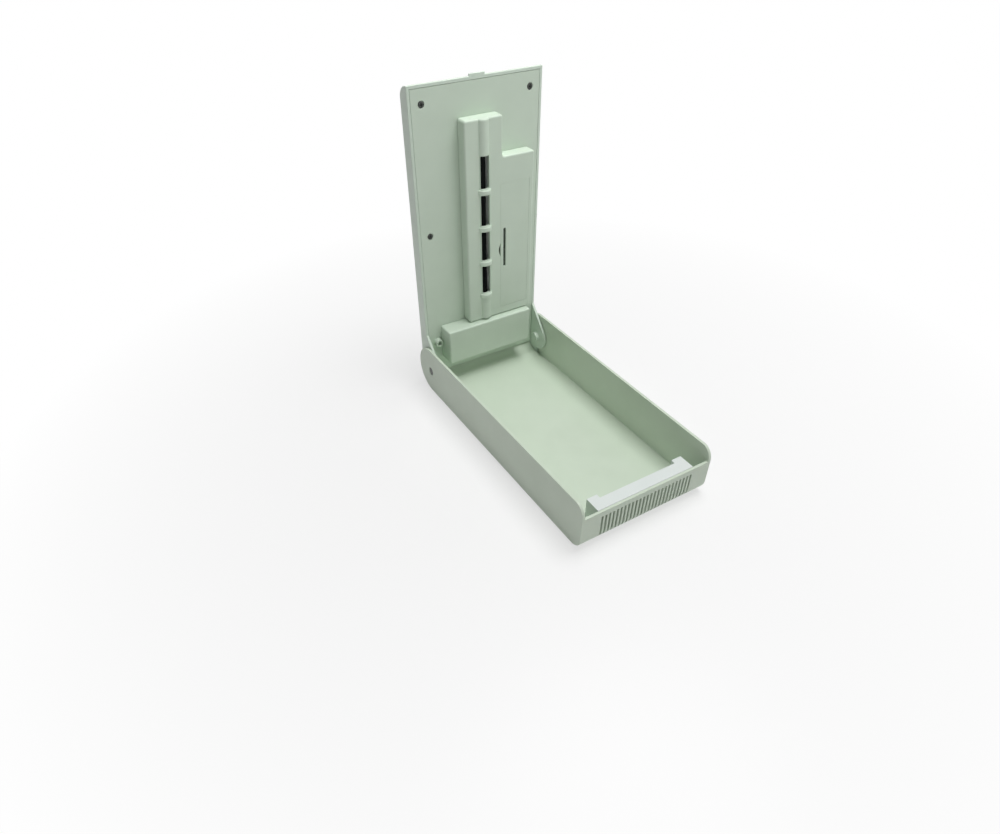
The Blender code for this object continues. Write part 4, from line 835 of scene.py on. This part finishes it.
def lamp_housing():
    shape = prism(housing_outline(0), HOUSING_FACE, HOUSING_TOP, "Z")
    bevel_where(shape, HOUSING_CORNER, CORNER_SEGMENTS, upright)
    bevel_where(shape, HOUSING_EDGE, CORNER_SEGMENTS, at_height(HOUSING_FACE))
    housing = mesh_object("lamp_housing_shell", shape)
    join(housing, sleeve_shape())
    inner_face = HOUSING_FACE + HOUSING_WALL
    cut(housing, prism(housing_outline(HOUSING_WALL), inner_face, SKIN_UNDER, "Z"))
    start, end = HOUSING_LOW.y + HOUSING_WALL, HOUSING_HIGH.y - HOUSING_WALL
    cut(housing, rod((LAMP_X, start, LAMP_Z), SLEEVE_BORE, end - start, "Y"))
    far_stop, near_stop = WINDOW_END - WINDOW_BRIDGE, WINDOW_START + WINDOW_BRIDGE / 2
    cut(housing, rod((LAMP_X, start, LAMP_Z), CAP_BORE, far_stop - start, "Y"))
    cut(housing, rod((LAMP_X, near_stop, LAMP_Z), CAP_BORE, end - near_stop, "Y"))
    for low_y, high_y in window_spans():
        low = (LAMP_X - WINDOW_WIDTH / 2, low_y, SLEEVE_FRONT - OVERRUN)
        high = (LAMP_X + WINDOW_WIDTH / 2, high_y, LAMP_Z)
        cut(housing, bevel_where(block(low, high), WINDOW_CORNER, CORNER_SEGMENTS, upright))
    low = (DOOR_LOW.x - DOOR_SEAM, DOOR_LOW.y - DOOR_SEAM, HOUSING_FACE - OVERRUN)
    high = (DOOR_RIGHT + DOOR_SEAM, DOOR_HIGH.y + DOOR_SEAM, inner_face + OVERRUN)
    cut(housing, block(low, high))
    for y in door_tab_places():
        low = (DOOR_RIGHT, y - DOOR_TAB_WIDTH / 2 - GAP, inner_face)
        reach = DOOR_RIGHT + DOOR_TAB_REACH + GAP
        high = (reach, y + DOOR_TAB_WIDTH / 2 + GAP, inner_face + GAP + DOOR_TAB_THICKNESS + DOOR_TAB_SWING)
        cut(housing, block(low, high))
    radius = ((NOTCH_HEIGHT / 2) ** 2 + NOTCH_REACH ** 2) / (2 * NOTCH_REACH)
    centre = (DOOR_LOW.x - NOTCH_REACH + radius, NOTCH_Y, HOUSING_FACE - OVERRUN)
    cut(housing, rod(centre, radius, HOUSING_WALL + 2 * OVERRUN, "Z", 2 * ROUND_STEPS))
    finish_shape(housing, LID_TURN)
    wear(housing, "inner", "lid", "mint_satin_plastic", "lamp_housing")


def uv_lamp():
    length = LAMP_HIGH.y - LAMP_LOW.y
    profile = arc((0, LAMP_RADIUS), LAMP_RADIUS, LAMP_RADIUS, -90, 0, DOME_STEPS)
    profile += arc((0, length - LAMP_RADIUS), LAMP_RADIUS, LAMP_RADIUS, 0, 90, DOME_STEPS)
    lamp_tube = mesh_object("uv_lamp_tube", turned(profile, (LAMP_X, LAMP_LOW.y, LAMP_Z), "Y"))
    finish_shape(lamp_tube, LID_TURN)
    wear(lamp_tube, "glass", "lid", "dark_glass", "uv_lamp")


def battery_door():
    shape = block(
        (DOOR_LOW.x, DOOR_LOW.y, HOUSING_FACE), (DOOR_RIGHT, DOOR_HIGH.y, HOUSING_FACE + DOOR_THICKNESS)
    )
    bevel_where(shape, DOOR_EDGE, FINE_SEGMENTS, at_height(HOUSING_FACE))
    door = mesh_object("battery_door_panel", shape)
    tab_face = HOUSING_FACE + HOUSING_WALL + GAP
    tab_top = tab_face + DOOR_TAB_THICKNESS
    for y in door_tab_places():
        low_y, high_y = y - DOOR_TAB_WIDTH / 2, y + DOOR_TAB_WIDTH / 2
        root = (DOOR_RIGHT - DOOR_TAB_ROOT, low_y, HOUSING_FACE + DOOR_THICKNESS - EMBED)
        join(door, block(root, (DOOR_RIGHT, high_y, tab_top)))
        low = (DOOR_RIGHT - DOOR_TAB_ROOT, low_y, tab_face)
        join(door, block(low, (DOOR_RIGHT + DOOR_TAB_REACH, high_y, tab_top)))
    reach = Vector((DOOR_SLOT_WIDTH / 2, DOOR_SLOT_LENGTH / 2, DOOR_THICKNESS / 2 + OVERRUN))
    middle = Vector((DOOR_SLOT_X, DOOR_SLOT_Y, HOUSING_FACE + DOOR_THICKNESS / 2))
    slot = block(middle - reach, middle + reach)
    cut(door, bevel_where(slot, DOOR_SLOT_CORNER, CORNER_SEGMENTS, upright))
    finish_shape(door, LID_TURN)
    wear(door, "inner", "door", "mint_satin_plastic", "battery_door")


def driver_cover():
    shape = block(DRIVER_LOW, DRIVER_HIGH)
    bevel_where(
        shape, DRIVER_EDGE, CORNER_SEGMENTS, lambda a, b: upright(a, b) or at_height(DRIVER_LOW.z)(a, b)
    )
    cover = mesh_object("driver_cover_shell", shape)
    low = (DRIVER_LOW.x + DRIVER_WALL, DRIVER_LOW.y + DRIVER_WALL, DRIVER_LOW.z + DRIVER_WALL)
    high = (DRIVER_HIGH.x - DRIVER_WALL, DRIVER_HIGH.y - DRIVER_WALL, DRIVER_HIGH.z + OVERRUN)
    cut(cover, block(low, high))
    finish_shape(cover, LID_TURN)
    wear(cover, "inner", "lid", "mint_satin_plastic", "driver_cover")


def liner_screws():
    for name, (x, y) in screw_places().items():
        corner = (SCREW_HEAD_RADIUS - SCREW_EDGE, SCREW_EDGE)
        profile = [(0, 0)] + arc(corner, SCREW_EDGE, SCREW_EDGE, -90, 0, TINY_STEPS)
        profile += [(SCREW_HEAD_RADIUS, SCREW_HEAD_HEIGHT), (SCREW_SHANK_RADIUS, SCREW_HEAD_HEIGHT)]
        profile += [(SCREW_SHANK_RADIUS, SCREW_LENGTH), (0, SCREW_LENGTH)]
        screw = mesh_object("liner_screw_" + name + "_turned", turned(profile, (x, y, RIM_Z), "Z"))
        for across, along in ((SCREW_CROSS, SCREW_CROSS_WIDTH), (SCREW_CROSS_WIDTH, SCREW_CROSS)):
            low = (x - across / 2, y - along / 2, RIM_Z - OVERRUN)
            high = (x + across / 2, y + along / 2, RIM_Z + SCREW_CROSS_DEPTH)
            cut(screw, block(low, high))
        finish_shape(screw, LID_TURN)
        wear(screw, "steel", "lid", "plated_steel", "liner_screw_" + name)


def symbol_ring(centre_y):
    """The open ring of a generic power symbol, its gap towards the light."""
    outer = SYMBOL_RADIUS + SYMBOL_LINE / 2
    inner = SYMBOL_RADIUS - SYMBOL_LINE / 2
    start, end = 90 + SYMBOL_GAP_ANGLE, 450 - SYMBOL_GAP_ANGLE
    outline = arc((0, centre_y), outer, outer, start, end, SYMBOL_STEPS)
    outline += arc((0, centre_y), inner, inner, end, start, SYMBOL_STEPS)
    return prism(outline, SKIN_TOP - SYMBOL_DEPTH, SKIN_TOP + OVERRUN, "Z")


def power_button():
    rim = (BUTTON_HIGH.x - BUTTON_LOW.x) / 2
    thick = BUTTON_HIGH.z - BUTTON_LOW.z
    under = thick - BUTTON_FLANGE
    profile = [(0, 0)]
    profile += arc((BUTTON_RADIUS - BUTTON_EDGE, BUTTON_EDGE), BUTTON_EDGE, BUTTON_EDGE, -90, 0, EDGE_STEPS)
    profile += [(BUTTON_RADIUS, under), (rim, under), (rim, thick), (0, thick)]
    button = mesh_object("power_button_cap", turned(profile, (0, BUTTON_Y, SKIN_TOP), "-Z", 2 * ROUND_STEPS))
    cut(button, symbol_ring(BUTTON_Y))
    start = BUTTON_Y + SYMBOL_RADIUS * STROKE_START_SHARE
    end = BUTTON_Y + SYMBOL_RADIUS * STROKE_END_SHARE
    low = (-SYMBOL_LINE / 2, start, SKIN_TOP - SYMBOL_DEPTH)
    high = (SYMBOL_LINE / 2, end, SKIN_TOP + OVERRUN)
    cut(button, block(low, high))
    finish_shape(button, LID_TURN)
    wear(button, "cover", "button", "mint_gloss_plastic", "power_button")


def status_light():
    shape = bevel_where(block(LIGHT_LOW, LIGHT_HIGH), LIGHT_EDGE, CORNER_SEGMENTS, upright)
    light = mesh_object("status_light_pipe", shape)
    finish_shape(light, LID_TURN)
    wear(light, "pipe", "lid", "clear_plastic", "status_light")


# Finishes of the nodes whose solids stay
CARRIED_FINISHES = {
    "lamp_cap_near": "rubber", "lamp_cap_far": "rubber", "lamp_reflector": "mirror",
    "battery_holder": "black", "contact_link": "nickel", "contact_positive": "nickel",
    "contact_negative": "nickel", "inverter_board": "board", "inverter_transformer": "ferrite",
    "inverter_capacitor": "black", "control_board": "board", "switch_base": "black",
    "switch_plunger": "black", "lid_magnet": "nickel", "reed_switch": "pipe",
    "battery_cell_1": "cell", "battery_cell_2": "cell", "battery_cell_3": "cell", "battery_cell_4": "cell",
}


def carried_nodes():
    for name, finish in CARRIED_FINISHES.items():
        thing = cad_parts[name]
        thing.data.materials.clear()
        thing.data.materials.append(FINISHES[finish])


# Floor, lights and camera
FLOOR_HALF = 3
FLOOR_DEPTH = 0.02
FLOOR_NEAR = 0.12
FLOOR_FAR = 0.40
FLOOR_NEAR_WHITE = 0.6
FLOOR_SHADE = 0.90
FLOOR_ROUGHNESS = 0.3
FLOOR_SPECULAR = 0.4
SKY_STRENGTH = 0.22
LAMPS = {
    "overhead": {"place": (0.15, -0.05, 0.80), "target": (0.0, 0.03, 0.1), "size": 0.5, "power": 4.7},
    "front_fill": {"place": (0.5, -1.2, 0.8), "target": (0, 0.05, 0.1), "size": 0.8, "power": 1.0},
}


def seen_directly(tree):
    """One for the rays that show the background: straight, mirrored or through glass."""
    path = tree.nodes.new("ShaderNodeLightPath")
    first = combine(tree, "MAXIMUM", path.outputs["Is Camera Ray"], path.outputs["Is Glossy Ray"])
    return combine(tree, "MAXIMUM", first, path.outputs["Is Transmission Ray"])


def floor():
    """White floor. It turns into plain white away from the box, whose soft shadow it keeps."""
    low = (-FLOOR_HALF, -FLOOR_HALF, -FLOOR_DEPTH)
    ground = mesh_object("floor", block(low, (FLOOR_HALF, FLOOR_HALF, 0)))
    white = bpy.data.materials.new("white_floor")
    white.use_nodes = True
    tree = white.node_tree
    shader = tree.nodes["Principled BSDF"]
    shader.inputs["Base Color"].default_value = (FLOOR_SHADE, FLOOR_SHADE, FLOOR_SHADE, 1)
    shader.inputs["Roughness"].default_value = FLOOR_ROUGHNESS
    shader.inputs["Specular IOR Level"].default_value = FLOOR_SPECULAR
    plain = tree.nodes.new("ShaderNodeEmission")
    place = tree.nodes.new("ShaderNodeTexCoord").outputs["Object"]
    distance = tree.nodes.new("ShaderNodeVectorMath")
    distance.operation = "LENGTH"
    tree.links.new(place, distance.inputs[0])
    away = spread(tree, distance.outputs["Value"], FLOOR_NEAR, FLOOR_FAR, FLOOR_NEAR_WHITE, 1.0)
    mixer = tree.nodes.new("ShaderNodeMixShader")
    tree.links.new(combine(tree, "MULTIPLY", away, seen_directly(tree)), mixer.inputs["Fac"])
    tree.links.new(shader.outputs["BSDF"], mixer.inputs[1])
    tree.links.new(plain.outputs["Emission"], mixer.inputs[2])
    tree.links.new(mixer.outputs["Shader"], tree.nodes["Material Output"].inputs["Surface"])
    ground.data.materials.append(white)


def softbox(name, place, target, size, power):
    light = bpy.data.lights.new(name, "AREA")
    light.shape = "DISK"
    light.size = size
    light.energy = power
    holder = bpy.data.objects.new(name, light)
    bpy.context.scene.collection.objects.link(holder)
    holder.location = place
    aim = Vector(target) - Vector(place)
    holder.rotation_euler = aim.to_track_quat("-Z", "Y").to_euler()


def studio():
    world = bpy.data.worlds.new("studio")
    bpy.context.scene.world = world
    world.use_nodes = True
    tree = world.node_tree
    sky = tree.nodes["Background"]
    sky.inputs["Color"].default_value = (1, 1, 1, 1)
    sky.inputs["Strength"].default_value = SKY_STRENGTH
    seen = tree.nodes.new("ShaderNodeBackground")
    seen.inputs["Color"].default_value = (1, 1, 1, 1)
    mixer = tree.nodes.new("ShaderNodeMixShader")
    tree.links.new(seen_directly(tree), mixer.inputs["Fac"])
    tree.links.new(sky.outputs["Background"], mixer.inputs[1])
    tree.links.new(seen.outputs["Background"], mixer.inputs[2])
    tree.links.new(mixer.outputs["Shader"], tree.nodes["World Output"].inputs["Surface"])
    for name, lamp in LAMPS.items():
        softbox(name, **lamp)


CAMERA_PLACE = Vector((-0.24173, -0.32471, 0.33094))
CAMERA_AIM = Vector((0.37976, 0.62200, -0.68476))
CAMERA_LENS = 24.91
CAMERA_SENSOR = 36
CAMERA_SHIFT = 0.06
CAMERA_CLIP = 0.01


def camera():
    data = bpy.data.cameras.new("view")
    data.lens = CAMERA_LENS
    data.sensor_width = CAMERA_SENSOR
    data.shift_y = CAMERA_SHIFT
    data.clip_start = CAMERA_CLIP
    eye = bpy.data.objects.new("view", data)
    bpy.context.scene.collection.objects.link(eye)
    eye.location = CAMERA_PLACE
    eye.rotation_euler = CAMERA_AIM.to_track_quat("-Z", "Y").to_euler()
    bpy.context.scene.camera = eye


bpy.context.scene.view_settings.view_transform = "Standard"
floor()
studio()
camera()
carried_nodes()
tray_shell()
vent_baffle()
feet()
hinge_pins()
lid_cover()
lid_liner()
lamp_housing()
uv_lamp()
battery_door()
driver_cover()
liner_screws()
power_button()
status_light()
